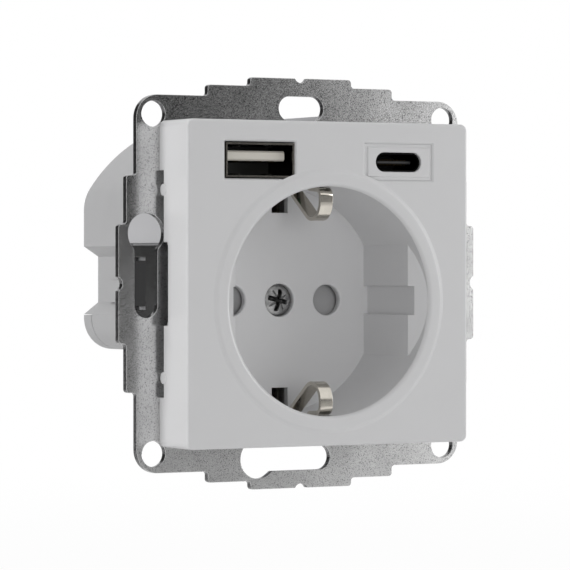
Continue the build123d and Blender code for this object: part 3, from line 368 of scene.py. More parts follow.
@dataclass(frozen=True)
class MouldedPlastic:
    """Injection-moulded plastic: an even colour with faint flow clouds, over a fine mould texture.

    Attributes:
        colour: Linear base colour.
        roughness: Middle roughness of the surface.
        texture: Width of the mould texture's grain.
        depth: Height of that grain.
        clouds: How far the colour wanders, as a share.
        coat: Weight of a glossy skin.
        painted_shade: Painted shade that darkens it with depth, if any.
    """

    name: str
    colour: Colour
    roughness: float = 0.5
    texture: float = 0.2 * MM
    depth: float = 0.005 * MM
    clouds: float = 0.02
    coat: float = 0.0
    painted_shade: PaintedDepthShade | None = None

    def material(self) -> bpy.types.Material:
        """Build the material.

        Returns:
            The material.
        """
        wires = Wiring(self.name)
        cloud, patch, sink, sink_depth = 14 * MM, 3 * MM, 9 * MM, 0.01 * MM
        wires.paint(self.colour, self.clouds, wires.noise(cloud, 3), self.painted_shade)
        wires.gloss(wires.noise(patch, 4), self.roughness, shares=(0.92, 1.08))
        wires.shader.inputs["Coat Weight"].default_value = self.coat
        wires.shader.inputs["Coat Roughness"].default_value = 0.12
        wires.relief((wires.noise(sink, 1), sink_depth, 0.3), (wires.noise(self.texture, 3), self.depth, 0.6))
        return wires.material


@dataclass(frozen=True)
class GalvanisedSheet:
    """Zinc-coated steel sheet: fine bright grain with dark pits, a slight waviness, and sheared edges.

    Attributes:
        zinc: Linear colour of the coating.
        pit: Linear colour of its pits.
        sheared: Linear colour of the rough part of a sheared edge.
        grain: Width of one grain of the coating.
        roughness: Middle roughness of the coating.
        bow: How far the sheet bows out, as the tilt it has at one metre from the middle, along X.
        tab_start: Depth (Y) from which the sheet is a bent tab, coated all over.
        tab_shade_share: Share of the brightness that a tab keeps, as painted shade of the tabs that lie in
            shadow behind the frame.
    """

    name: str
    zinc: Colour
    pit: Colour
    sheared: Colour
    grain: float = 0.16 * MM
    roughness: float = 0.17
    bow: float = 1.0
    tab_start: float = 0.1 * MM
    tab_shade_share: float = 0.3

    def material(self) -> bpy.types.Material:
        """Build the material.

        Returns:
            The material.
        """
        wires = Wiring(self.name)
        clear, oxide = (1.0, 1.0, 1.0), (0.9, 0.9, 0.9)
        patch, tear, wave, tab_end = 7 * MM, 0.3 * MM, 11 * MM, self.tab_start + 1.2 * MM
        wave_height, speck_height = 0.07 * MM, 0.006 * MM
        speck = wires.noise(self.grain, 2)
        pitted = wires.ramp(speck, (0.3, self.pit), (0.47, self.zinc))
        dulled = wires.ramp(wires.noise(patch, 3), (0.35, oxide), (0.65, clear))
        # Painted shade: the bent tabs behind the frame are darkened with depth.
        tab_shade = wires.mapped(wires.axis(wires.place, "Y"), self.tab_start, tab_end, 1.0, self.tab_shade_share)
        coated = wires.times(wires.times(pitted, dulled), tab_shade)
        marks = wires.noise(tear, 3, (1, 0.5, 1))
        torn = wires.ramp(marks, (0.4, shade(self.sheared, 0.15)), (0.62, self.sheared))
        colour = wires.mixed(wires.flat_share(self.tab_start), torn, coated, data_type="RGBA")
        wires.join(colour, wires.shader.inputs["Base Color"])
        wires.shader.inputs["Metallic"].default_value = 1.0
        wires.gloss(speck, self.roughness, shares=(0.75, 1.3))
        square = wires.calc("POWER", wires.axis(wires.place, "X"), 2.0)
        wires.relief((square, -self.bow / 2, 1.0), (wires.noise(wave, 1), wave_height, 1.0),
                     (speck, speck_height, 1.0))
        return wires.material


@dataclass(frozen=True)
class PlatedMetal:
    """Plated or bare metal with fine rolling or turning marks.

    Attributes:
        colour: Linear base colour.
        roughness: Middle roughness.
        marks: Width of one mark.
        along: How much longer the marks are along X, Y and Z.
        depth: Depth of the marks.
        stain: How far the colour wanders, as a share.
        painted_shade: Painted shade that darkens it with depth, if any.
    """

    name: str
    colour: Colour
    roughness: float = 0.2
    marks: float = 0.12 * MM
    along: Colour = (1, 5, 1)
    depth: float = 0.003 * MM
    stain: float = 0.08
    painted_shade: PaintedDepthShade | None = None

    def material(self) -> bpy.types.Material:
        """Build the material.

        Returns:
            The material.
        """
        wires = Wiring(self.name)
        spot = 1.6 * MM
        wires.paint(self.colour, self.stain, wires.noise(spot, 3), self.painted_shade)
        wires.shader.inputs["Metallic"].default_value = 1.0
        mark = wires.noise(self.marks, 2, self.along)
        wires.gloss(mark, self.roughness, shares=(0.8, 1.3))
        wires.relief((mark, self.depth, 0.6))
        return wires.material


@dataclass(frozen=True)
class BoardLaminate:
    """Printed board: solder mask over copper tracks that show as a lighter tone.

    Attributes:
        mask: Linear colour of the bare mask.
        track: Linear colour of the mask over copper.
    """

    name: str
    mask: Colour
    track: Colour

    def material(self) -> bpy.types.Material:
        """Build the material.

        Returns:
            The material.
        """
        wires = Wiring(self.name)
        copper = 0.03 * MM
        routes = wires.add("ShaderNodeTexBrick", offset=0.35, squash=1.6, squash_frequency=3)
        settings = {"Scale": 1.0, "Brick Width": 3.4 * MM, "Row Height": 1.1 * MM, "Mortar Size": 0.16 * MM,
                    "Color1": (*self.track, 1), "Color2": (*shade(self.track, 0.85), 1),
                    "Mortar": (*self.mask, 1)}
        for name, value in settings.items():
            routes.inputs[name].default_value = value
        turn = wires.add("ShaderNodeMapping")
        turn.inputs["Rotation"].default_value = (math.radians(90), 0, 0)
        wires.join(wires.place, turn.inputs["Vector"])
        wires.join(turn.outputs["Vector"], routes.inputs["Vector"])
        wires.join(routes.outputs["Color"], wires.shader.inputs["Base Color"])
        wires.shader.inputs["Roughness"].default_value = 0.32
        wires.relief((routes.outputs["Fac"], -copper, 0.5))
        return wires.material


# Painted shade by depth inside the USB ports: the tongue, the shells and the contacts darken where the ports'
# insides lie in shadow.
IVORY_PAINTED_SHADE = PaintedDepthShade(-8.5 * MM, -4.5 * MM, 0.02)
SHELL_PAINTED_SHADE = PaintedDepthShade(-11.15 * MM, -10.9 * MM, 0.03)
DEEP_PAINTED_SHADE = PaintedDepthShade(-11.15 * MM, -10.95 * MM, 0.03)
CONTACT_PAINTED_SHADE = PaintedDepthShade(-9.4 * MM, -8.6 * MM, 0.1)
# Painted shade by depth in the cross recesses of the screw heads, which lie in shadow.
SCREW_PAINTED_SHADE = PaintedDepthShade(7.0 * MM, 7.6 * MM, 0.08)
REAR_SCREW_PAINTED_SHADE = PaintedDepthShade(32.1 * MM, 31.7 * MM, 0.15)

WHITE_GLOSS = MouldedPlastic("white_gloss_plastic", tone(216, 216, 217), 0.33, 0.5 * MM, 0.0015 * MM, 0.008,
                             0.25)
PALE_SATIN = MouldedPlastic("pale_satin_plastic", tone(178, 178, 179))
# Painted shade: near black for the base's catches, which lie in shadow in the windows of the frame's tabs.
CATCH_PAINTED_SHADE = MouldedPlastic("catch_painted_shade", tone(22, 22, 23), clouds=0.1)
BASE_SATIN = MouldedPlastic("base_satin_plastic", tone(186, 186, 188))
SHUTTER_GREY = MouldedPlastic("shutter_grey_plastic", tone(170, 170, 171), 0.45, depth=0.004 * MM,
                              clouds=0.03)
LEVER_ORANGE = MouldedPlastic("lever_orange_plastic", tone(214, 118, 40), 0.42, 0.15 * MM, 0.003 * MM, 0.04)
# Painted shade: the ivory tongue darkens with depth into the port.
PORT_IVORY = MouldedPlastic("port_ivory_plastic", tone(216, 212, 202), 0.4, 0.12 * MM, 0.002 * MM,
                            painted_shade=IVORY_PAINTED_SHADE)
PORT_BLACK = MouldedPlastic("port_black_plastic", tone(26, 26, 27), 0.4, 0.12 * MM, 0.002 * MM, 0.1)
EPOXY_BLACK = MouldedPlastic("black_epoxy", tone(38, 38, 40), 0.5, 0.15 * MM, 0.004 * MM, 0.1)
EPOXY_BLUE = MouldedPlastic("blue_epoxy", tone(44, 84, 150), 0.35, 0.3 * MM, 0.004 * MM, 0.08)
FERRITE_DARK = MouldedPlastic("dark_ferrite", tone(52, 52, 54), 0.55, 0.1 * MM, 0.01 * MM, 0.12)
TAPE_YELLOW = MouldedPlastic("yellow_coil_tape", tone(206, 170, 52), 0.35, 0.6 * MM, 0.01 * MM, 0.05)
CAN_SLEEVE = MouldedPlastic("dark_shrink_sleeve", tone(40, 44, 60), 0.34, 0.8 * MM, 0.004 * MM, 0.05)
SHEATH_BROWN = MouldedPlastic("brown_sheath", tone(96, 62, 44), 0.45, depth=0.003 * MM, clouds=0.05)
SHEATH_BLUE = MouldedPlastic("blue_sheath", tone(52, 96, 170), 0.45, depth=0.003 * MM, clouds=0.05)
FRAME_ZINC = GalvanisedSheet("galvanised_sheet", tone(212, 212, 212), tone(130, 130, 131),
                             tone(150, 150, 151))
STRIP_NICKEL = PlatedMetal("nickel_strip", tone(206, 201, 191), 0.16, 0.1 * MM, (1, 6, 6), stain=0.06)
# Painted shade: these screw heads darken with depth into their recesses.
SCREW_STEEL = PlatedMetal("screw_steel", tone(160, 160, 160), 0.36, 0.22 * MM, (1, 1, 1), 0.04 * MM, 0.4,
                          SCREW_PAINTED_SHADE)
REAR_SCREW_STEEL = PlatedMetal("rear_screw_steel", tone(150, 150, 150), 0.36, 0.22 * MM, (1, 1, 1),
                               0.03 * MM, 0.3, REAR_SCREW_PAINTED_SHADE)
SPRING_STEEL = PlatedMetal("spring_steel", tone(168, 168, 170), marks=0.1 * MM)
# Painted shade: both port shells are toned darker than bare plated steel and darken further with depth, for
# the shadow inside the ports.
PORT_STEEL = PlatedMetal("port_steel", tone(128, 124, 118), stain=0.2, painted_shade=SHELL_PAINTED_SHADE)
DEEP_STEEL = PlatedMetal("deep_port_steel", tone(128, 127, 125), stain=0.2, painted_shade=DEEP_PAINTED_SHADE)
CONTACT_BRASS = PlatedMetal("contact_brass", tone(206, 172, 104), marks=0.1 * MM)
# Painted shade: the contacts' dark gold and their darkening with depth stand for the shadow inside the ports.
PORT_GOLD = PlatedMetal("port_contact_gold", tone(120, 96, 54), marks=0.08 * MM, depth=0.002 * MM, stain=0.1,
                        painted_shade=CONTACT_PAINTED_SHADE)
BOARD_GREEN = BoardLaminate("green_board", tone(24, 78, 46), tone(44, 112, 66))

Finish = MouldedPlastic | GalvanisedSheet | PlatedMetal | BoardLaminate
Reshape = Callable[[WorkMesh], None]


class Stock:
    """The finishes in use, each built as a material once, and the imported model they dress."""

    def __init__(self, frame: dict) -> None:
        """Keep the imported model.
        """
        self.nodes: dict[str, bpy.types.Object] = frame["nodes"]
        self.slots = {entry["node"]: entry["material_slot"] for entry in frame["record"]["subparts"]}
        groups = frame["record"]["behaviour"]["bodies"]
        self.bodies = {node: body for body, members in groups.items() for node in members}
        self.made: dict[str, bpy.types.Material] = {}

    def material(self, finish: Finish) -> bpy.types.Material:
        """Give a finish's material, built at its first use.

        Args:
            finish: The finish.

        Returns:
            Its material.
        """
        if finish.name not in self.made:
            self.made[finish.name] = finish.material()
        return self.made[finish.name]

    def dress_node(self, node: str, finish: Finish) -> None:
        """Put a finish on a CAD node as it stands.

        Args:
            node: The node's name.
            finish: The finish that it gets.
        """
        for place in self.nodes[node].material_slots:
            place.material = self.material(finish)
        log.info("%s keeps its shape, in %s", node, finish.name)

    def place(self, piece: bpy.types.Object, node: str, finish: Finish) -> bpy.types.Object:
        """Let a new piece stand for a CAD node, on that node's body and in a finish.

        Args:
            piece: The new piece.
            node: The node that it replaces.
            finish: The finish that it gets.

        Returns:
            The piece.
        """
        piece.data.materials.clear()
        piece.data.materials.append(self.material(finish))
        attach(piece, self.bodies[node])
        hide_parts(node)
        log.info("%s stands for %s, %d faces, in %s", piece.name, node, len(piece.data.polygons), finish.name)
        return piece

    def softened(self, node: str, finish: Finish, radius: float, reshape: Reshape | None = None,
                 rims: tuple["Rim", ...] = (), extra: Reshape | None = None) -> bpy.types.Object:
        """Copy a CAD node and round its sharp edges, as the real part's are.

        Args:
            node: The node to copy and replace.
            finish: The finish that the copy gets.
            radius: Radius of the rounding.
            reshape: What is done to the copy before its edges are rounded.
            rims: Hole rims that get a rounding of their own first.
            extra: What is added to the copy after its edges are rounded.

        Returns:
            The new piece.
        """
        sharp, level, weld = math.radians(34), math.radians(0.7), 0.002 * MM
        work = bmesh.new()
        work.from_mesh(self.nodes[node].data)
        if reshape:
            reshape(work)
        bmesh.ops.remove_doubles(work, verts=work.verts, dist=weld)
        bmesh.ops.dissolve_limit(work, angle_limit=level, verts=work.verts, edges=work.edges)
        flats = [(face.normal.copy(), face.verts[0].co.copy()) for face in work.faces if len(face.verts) > 4]
        for rim in rims:
            chosen = [e for e in work.edges if all(rim.holds(v.co) for v in e.verts)]
            round_edges(work, chosen, rim.rounding, rim.strips)
        chosen = [e for e in work.edges if len(e.link_faces) == 2 and e.calc_face_angle(0.0) > sharp]
        round_edges(work, chosen, radius, steps=2)
        relay_flats(work, flats)
        if extra:
            extra(work)
        return self.place(finish_mesh(work, f"{node}_soft"), node, finish)


@dataclass(frozen=True)
class Rim:
    """The rim of a hole that runs along the socket's depth.

    Attributes:
        across: The hole's place along X.
        up: Its place along Z.
        depth: Depth (Y) of the rim.
        reach: Radius of the hole.
        rounding: Radius of the rim's rounding.
        strips: How many strips make it up.
    """

    across: float
    up: float
    depth: float
    reach: float
    rounding: float
    strips: int = 4

    def holds(self, point: Vector) -> bool:
        """Tell whether a point lies on the rim."""
        rho = math.hypot(point.x - self.across, point.z - self.up)
        return abs(point.y - self.depth) < NEAR and abs(rho - self.reach) < NEAR


def round_edges(work: WorkMesh, edges: list[bmesh.types.BMEdge], radius: float, steps: int) -> None:
    """Round edges of a mesh.

    Args:
        work: The mesh.
        edges: The edges to round.
        radius: Radius of the rounding.
        steps: How many strips make it up.
    """
    bmesh.ops.bevel(work, geom=edges, offset=radius, offset_type="OFFSET", segments=steps, profile=0.5,
                    affect="EDGES", clamp_overlap=True)


def relay_flats(work: WorkMesh, flats: list[tuple[Vector, Vector]]) -> None:
    """Lay flat faces anew between their outlines, so that no part of one folds over another.

    Args:
        work: The mesh, whose edges have been rounded. Its flats are left unsmoothed.
        flats: A normal and a point of each flat that had more than four corners before that.
    """
    aligned, near = 0.9999, 0.0002 * MM
    for face in work.faces:
        face.smooth = True
    done: set[bmesh.types.BMFace] = set()
    for normal, point in flats:
        group = [f for f in work.faces if f not in done and abs(f.normal.dot(normal)) > aligned
                 and all(abs((v.co - point).dot(normal)) < near for v in f.verts)]
        if group:
            laid = relay_flat(work, normal, point, group)
            for face in laid:
                face.smooth = False
            done.update(laid)


def relay_flat(work: WorkMesh, normal: Vector, point: Vector,
               group: list[bmesh.types.BMFace]) -> list[bmesh.types.BMFace]:
    """Lay the faces of one plane anew.

    Args:
        work: The mesh.
        normal: The plane's normal.
        point: A point of the plane.
        group: The faces on it.

    Returns:
        The faces that now lie on it.
    """
    join, error = 1e-5, 0.01  # Distance in mm at which corners meet, and the area's error as a share.
    members = set(group)
    outline = [e for e in {e for f in group for e in f.edges} if sum(f in members for f in e.link_faces) == 1]
    corners = list({v for e in outline for v in e.verts})
    order = {v: k for k, v in enumerate(corners)}
    side = normal.orthogonal().normalized()
    other = normal.cross(side)
    flat = [Vector(((v.co - point).dot(side), (v.co - point).dot(other))) / MM for v in corners]
    spots, lines, faces, from_corner, from_line, _ = delaunay_2d_cdt(
        flat, [tuple(order[v] for v in e.verts) for e in outline], [], 0, join)
    walls = {frozenset(line) for line, origin in zip(lines, from_line) if origin}
    kept = [faces[k] for k in inside_faces(faces, walls)]
    area = sum(area_tri(*(spots[k] for k in face)) for face in kept) * MM * MM
    signed = sum(math.copysign(f.calc_area(), f.normal.dot(normal)) for f in group)
    if abs(area - signed) > error * signed:
        return group
    bmesh.ops.delete(work, geom=group, context="FACES_KEEP_BOUNDARY")
    points = [corners[origin[0]] if origin else work.verts.new(point + (side * spot.x + other * spot.y) * MM)
              for spot, origin in zip(spots, from_corner)]
    return [work.faces.new([points[k] for k in face]) for face in kept]


def inside_faces(faces: list[list[int]], walls: set[frozenset[int]]) -> list[int]:
    """Find the triangles that lie inside an outline.

    Args:
        faces: The triangles, each as three corners.
        walls: The pairs of corners that the outline joins.

    Returns:
        The places of the inside triangles in the list.
    """
    owners: dict[frozenset[int], list[int]] = {}
    for place, face in enumerate(faces):
        for pair in zip(face, face[1:] + face[:1]):
            owners.setdefault(frozenset(pair), []).append(place)
    inside = {held[0]: pair in walls for pair, held in owners.items() if len(held) == 1}
    queue = list(inside)
    while queue:
        place = queue.pop()
        face = faces[place]
        for pair in map(frozenset, zip(face, face[1:] + face[:1])):
            for after in owners[pair]:
                if after not in inside:
                    inside[after] = inside[place] != (pair in walls)
                    queue.append(after)
    return [place for place, within in inside.items() if within]


def lathe(work: WorkMesh, centre: Vector, profile: list[tuple[float, float]], spokes: int) -> None:
    """Add a surface turned round an axis along Y.

    Args:
        work: The mesh to add it to.
        centre: A point of the axis; its Y isn't used.
        profile: Radius and depth (Y) of each point of the section, with the outside on its left.
        spokes: How many steps go round.
    """
    turns = [2 * math.pi * k / spokes for k in range(spokes)]
    loops = [[work.verts.new((centre.x + rho * math.cos(t), depth, centre.z + rho * math.sin(t)))
              for t in turns] for rho, depth in profile]
    for first, second in zip(loops, loops[1:]):
        for k in range(spokes):
            after = (k + 1) % spokes
            work.faces.new((first[k], first[after], second[after], second[k])).smooth = True


def finish_mesh(work: WorkMesh, name: str, sharp: float = 38.0) -> bpy.types.Object:
    """Turn a worked mesh into an object with even normals on its smooth faces.

    Args:
        work: The mesh, which is freed.
        name: Name of the new object.
        sharp: Angle in degrees from which an edge stays hard.

    Returns:
        The new object, in the scene.
    """
    mesh = bpy.data.meshes.new(name)
    work.to_mesh(mesh)
    smooth = [face.smooth for face in work.faces]
    work.free()
    for layer in ("custom_normal", "sharp_edge"):
        if layer in mesh.attributes:
            mesh.attributes.remove(mesh.attributes[layer])
    mesh.set_sharp_from_angle(angle=math.radians(sharp))
    mesh.polygons.foreach_set("use_smooth", smooth)
    piece = bpy.data.objects.new(name, mesh)
    bpy.context.scene.collection.objects.link(piece)
    even = piece.modifiers.new("even_normals", "WEIGHTED_NORMAL")
    even.keep_sharp = True
    return piece


class Drive(Enum):
    """The recess in a screw's head."""

    CROSS = "cross"
    CROSS_WITH_TICKS = "cross_with_ticks"


@dataclass(frozen=True)
class Recess:
    """A cross recess, with its middle on the screw's axis.

    Attributes:
        slot: Width of an arm.
        reach: Length of the cross from end to end.
        depth: Its depth.
        drive: Which kind it is.
        turn: How far it is turned, in degrees.
    """

    slot: float
    reach: float
    depth: float
    drive: Drive = Drive.CROSS
    turn: float = 0.0

    def cut(self, across: float, up: float) -> float:
        """Give how deep it goes at a point of the head.

        Args:
            across: Distance from the axis along X.
            up: Distance from the axis along Z.

        Returns:
            The depth there.
        """
        side, heart, tick_half = self.slot * 0.22, self.slot * 1.1, self.slot * 0.3
        end, tick_end = self.reach * 0.1, 0.1 * MM
        arm_share, heart_share, tick_share = 0.8, 0.35, 0.3
        sine, cosine = math.sin(math.radians(self.turn)), math.cos(math.radians(self.turn))
        turned = (across * cosine - up * sine, across * sine + up * cosine)
        rho = math.hypot(across, up)
        sink = 0.0
        for near, far in (turned, turned[::-1]):
            flank = clamped((self.slot / 2 - abs(near)) / side)
            sink = max(sink, flank * clamped((self.reach / 2 - abs(far)) / end))
        cut = arm_share * sink + heart_share * clamped(1 - rho / heart)
        if self.drive is Drive.CROSS_WITH_TICKS:
            lean = abs(abs(turned[0]) - abs(turned[1]))
            tick = clamped(1 - lean / tick_half) * clamped((self.reach / 2 - rho) / tick_end)
            cut = max(cut, tick_share * tick)
        return self.depth * cut


def clamped(value: float) -> float:
    """Keep a value between 0 and 1."""
    return min(1.0, max(0.0, value))


@dataclass
class DomedScrew:
    """A screw with a domed head and a cross recess, its axis along Y and its head to one side.

    Attributes:
        centre: Where the axis meets the head's seat.
        facing: -1 where the head looks to the front, +1 where it looks to the rear.
        radius: Radius of the head.
        height: Height of the head at its crown.
        shank: Radius of the shank.
        length: Length of the shank under the head.
        recess: The recess in the head.
        rings: Steps from the crown to the rim.
        spokes: Steps round the axis.
    """

    centre: Vector
    facing: float
    radius: float
    height: float
    shank: float
    length: float
    recess: Recess
    rings: int = 44
    spokes: int = 144

    def crown(self, rho: float, turn: float) -> float:
        """Give the head's height over its seat at a radius and angle round the axis.

        Args:
            rho: The radius.
            turn: The angle, in radians.

        Returns:
            The height.
        """
        rim = 0.62
        share = rim + (1 - rim) * (1 - (rho / self.radius) ** 2)
        return self.height * share - self.recess.cut(rho * math.cos(turn), rho * math.sin(turn))

    def point(self, rho: float, turn: float, high: float) -> Vector:
        """Give the place at a radius and angle round the axis, at a height over the seat."""
        return self.centre + Vector((rho * math.cos(turn), self.facing * high, rho * math.sin(turn)))

    def add_to(self, work: WorkMesh) -> None:
        """Add the screw's faces to a mesh.

        Args:
            work: The mesh.
        """
        domed, edge, seat, tip, tip_start, bevel = 0.985, 0.54, 0.97, 0.7, 0.96, 0.06 * MM
        turns = [2 * math.pi * k / self.spokes for k in range(self.spokes)]
        face = [self.radius * domed * ring / self.rings for ring in range(1, self.rings + 1)]
        places = [[self.point(rho, t, self.crown(rho, t)) for t in turns] for rho in face]
        side = ((self.radius, self.height * edge), (self.radius, bevel), (self.radius * seat, 0.0),
                (self.shank, 0.0), (self.shank, -self.length * tip_start), (self.shank * tip, -self.length))
        places += [[self.point(rho, t, high) for t in turns] for rho, high in side]
        loops = [[work.verts.new(place) for place in loop] for loop in places]
        top = work.verts.new(self.point(0, 0, self.crown(0, 0)))
        for k in range(self.spokes):
            after = (k + 1) % self.spokes
            work.faces.new((top, loops[0][k], loops[0][after]))
            for inner, outer in zip(loops, loops[1:]):
                work.faces.new((inner[k], outer[k], outer[after], inner[after]))
        work.faces.new(reversed(loops[-1]))


def screws_piece(name: str, screws: list[DomedScrew]) -> bpy.types.Object:
    """Make one object of one or more screws.

    Args:
        name: Name of the object.
        screws: The screws.

    Returns:
        The new object.
    """
    work = bmesh.new()
    for screw in screws:
        screw.add_to(work)
    bmesh.ops.recalc_face_normals(work, faces=work.faces)
    for face in work.faces:
        face.smooth = True
    return finish_mesh(work, name, sharp=50.0)


@dataclass(frozen=True)
class CupBead:
    """The rounded bead round the mouth of the cup.

    Attributes:
        outside: Radius where it rises from the plate.
        shoulder: Radius where its rise ends.
        crest: Radius where its inner rounding starts.
        inside: Radius of the cup.
        height: How far it stands over the plate.
        turn_in: Depth of its inner rounding.
        steps: Steps of each curve of its section.
        spokes: Steps round the cup.
    """

    outside: float = 22.5 * MM
    shoulder: float = 21.6 * MM
    crest: float = 20.2 * MM
    inside: float = 19.5 * MM
    height: float = 0.4 * MM
    turn_in: float = 0.7 * MM
    steps: int = 9
    spokes: int = 192

    def profile(self, plate: float) -> list[tuple[float, float]]:
        """Give the section from the inside to the outside.

        Args:
            plate: Depth (Y) of the plate's face.

        Returns:
            Radius and depth of each point.
        """
        front = plate - self.height
        foot, tuck, proud = front + self.turn_in, 0.05 * MM, 0.005 * MM
        points = [(self.inside + 0.12 * MM, foot + 0.2 * MM), (self.inside - proud, foot)]
        for k in range(1, self.steps + 1):
            angle = math.pi / 2 * k / self.steps
            points.append((self.crest - (self.crest - self.inside) * math.cos(angle),
                           front + self.turn_in * (1 - math.sin(angle))))
        for k in range(self.steps + 1):
            share = k / self.steps
            rise = share * share * (3 - 2 * share)
            points.append((self.shoulder + (self.outside - self.shoulder) * share,
                           front + self.height * rise))
        points.append((self.outside + tuck, plate + tuck))
        return points


@dataclass
class CoverAssembly:
    """The white cover plate with its cup, and the screw that holds it.

    Attributes:
        edge: Rounding of the plate's edges.
        bead: The bead round the cup's mouth.
        lip_reach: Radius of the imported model's lip.
        floor_depth: Depth of the cup's floor from the plate's face.
        pin_spread: Distance of a pin hole from the cup's axis.
        pin_hole: Radius of a pin hole.
        screw_hole: Radius of the screw's counterbore.
        hole_rounding: Rounding of those holes' rims.
        screw_dome: Height of the screw's head.
        screw_shank: Radius of its shank.
        recess: The recess in its head.
        centre: A point of the cup's axis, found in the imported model.
        plate: Depth (Y) of the plate's face, found there too.
    """

    stock: Stock
    edge: float = 0.14 * MM
    bead: CupBead = CupBead()
    lip_reach: float = 21.4 * MM
    floor_depth: float = 17.5 * MM
    pin_spread: float = 9.5 * MM
    pin_hole: float = 2.66 * MM
    screw_hole: float = 2.85 * MM
    hole_rounding: float = 0.3 * MM
    screw_dome: float = 1.6 * MM
    screw_shank: float = 1.5 * MM
    recess: Recess = Recess(0.85 * MM, 4.0 * MM, 1.0 * MM, Drive.CROSS_WITH_TICKS, 14.0)
    centre: Vector = field(init=False)
    plate: float = field(init=False)

    def build(self) -> None:
        """Build and dress the pieces."""
        low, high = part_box("cover_screw")
        self.centre = (low + high) / 2
        self.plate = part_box("cover_plate")[0].y + self.bead.height
        holes = ((-self.pin_spread, self.pin_hole), (self.pin_spread, self.pin_hole), (0.0, self.screw_hole))
        rims = tuple(Rim(self.centre.x + away, self.centre.z, self.plate + self.floor_depth, radius,
                         self.hole_rounding) for away, radius in holes)
        self.stock.softened("cover_plate", WHITE_GLOSS, self.edge, self.lower_lip, rims, self.add_bead)
        seat = low.y + self.screw_dome
        screw = DomedScrew(Vector((self.centre.x, seat, self.centre.z)), -1.0, (high.x - low.x) / 2,
                           self.screw_dome, self.screw_shank, high.y - seat, self.recess)
        self.stock.place(screws_piece("cover_screw_domed", [screw]), "cover_screw", SCREW_STEEL)

    def lower_lip(self, work: WorkMesh) -> None:
        """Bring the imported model's plain lip down to the plate, to make room for the bead.

        Args:
            work: The cover's mesh.
        """
        for vert in work.verts:
            rho = math.hypot(vert.co.x - self.centre.x, vert.co.z - self.centre.z)
            if vert.co.y < self.plate - NEAR and rho < self.lip_reach + NEAR:
                vert.co.y = self.plate

    def add_bead(self, work: WorkMesh) -> None:
        """Add the bead."""
        lathe(work, self.centre, self.bead.profile(self.plate), self.bead.spokes)


@dataclass
class SteelParts:
    """The support frame and the earth strip.

    Attributes:
        sheet_edge: Rounding that the press leaves on the frame's edges.
        strip_edge: Rounding of the earth strip's edges.
    """

    stock: Stock
    sheet_edge: float = 0.14 * MM
    strip_edge: float = 0.12 * MM

    def build(self) -> None:
        """Build and dress the pieces."""
        self.stock.softened("support_frame", FRAME_ZINC, self.sheet_edge)
        self.stock.softened("earth_bridge", STRIP_NICKEL, self.strip_edge)


@dataclass
class Housing:
    """The moulded base, the rear housing, the terminal cover and their screws.

    Attributes:
        edge: Rounding of the mouldings' edges.
        head: Height of a housing screw's head.
        shank: Radius of its shank.
        recess: The recess in its head.
        catch_across: Distance from the middle (X) where a catch starts.
        catch_along: Depths (Y) between which it lies.
        catch_half: Half the height (Z) of a catch.
    """

    stock: Stock
    edge: float = 0.15 * MM
    head: float = 1.6 * MM
    shank: float = 1.1 * MM
    recess: Recess = Recess(0.6 * MM, 2.8 * MM, 0.7 * MM)
    catch_across: float = 24.3 * MM
    catch_along: tuple[float, float] = (7.2 * MM, 11.8 * MM)
    catch_half: float = 4.1 * MM

    def build(self) -> None:
        """Build and dress the pieces."""
        self.shade_catches(self.stock.softened("socket_base", BASE_SATIN, self.edge))
        for node in ("rear_housing", "terminal_cover"):
            self.stock.softened(node, PALE_SATIN, self.edge)
        self.stock.place(screws_piece("housing_screws_domed", self.screws()), "housing_screws",
                         REAR_SCREW_STEEL)

    def shade_catches(self, base: bpy.types.Object) -> None:
        """Paint the base's two catches, which sit in the windows of the frame's tabs, near black as painted
        shade of those windows.

        Args:
            base: The base.
        """
        base.data.materials.append(self.stock.material(CATCH_PAINTED_SHADE))
        first, last = self.catch_along
        for face in base.data.polygons:
            corners = [base.data.vertices[k].co for k in face.vertices]
            if all(abs(c.x) > self.catch_across and abs(c.z) < self.catch_half and first < c.y < last
                   for c in corners):
                face.material_index = 1

    def screws(self) -> list[DomedScrew]:
        """Give the two housing screws, one each side.

        Returns:
            The screws.
        """
        low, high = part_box("housing_screws")
        radius = (high.z - low.z) / 2
        seat = high.y - self.head
        up = (low.z + high.z) / 2
        return [DomedScrew(Vector((x, seat, up)), 1.0, radius, self.head, self.shank, seat - low.y,
                           self.recess) for x in (low.x + radius, high.x - radius)]


@dataclass
class Terminals:
    """Contacts, clamp springs and release levers of the three poles, and the pin shutter.

    Attributes:
        sheet_edge: Rounding of the brass sheet's edges.
        lever_edge: Rounding of the levers' edges.
        poles: The three poles.
    """

    stock: Stock
    sheet_edge: float = 0.06 * MM
    lever_edge: float = 0.1 * MM
    poles: tuple[str, ...] = ("live", "earth", "neutral")

    def build(self) -> None:
        """Build and dress the pieces."""
        for pole in self.poles:
            self.stock.softened(f"{pole}_release_lever", LEVER_ORANGE, self.lever_edge)
            self.stock.dress_node(f"{pole}_clamp_spring", SPRING_STEEL)
        for pole in ("live", "neutral"):
            self.stock.softened(f"{pole}_contact", CONTACT_BRASS, self.sheet_edge)
        self.stock.softened("shutter", SHUTTER_GREY, self.lever_edge)
        self.stock.dress_node("shutter_spring", SPRING_STEEL)


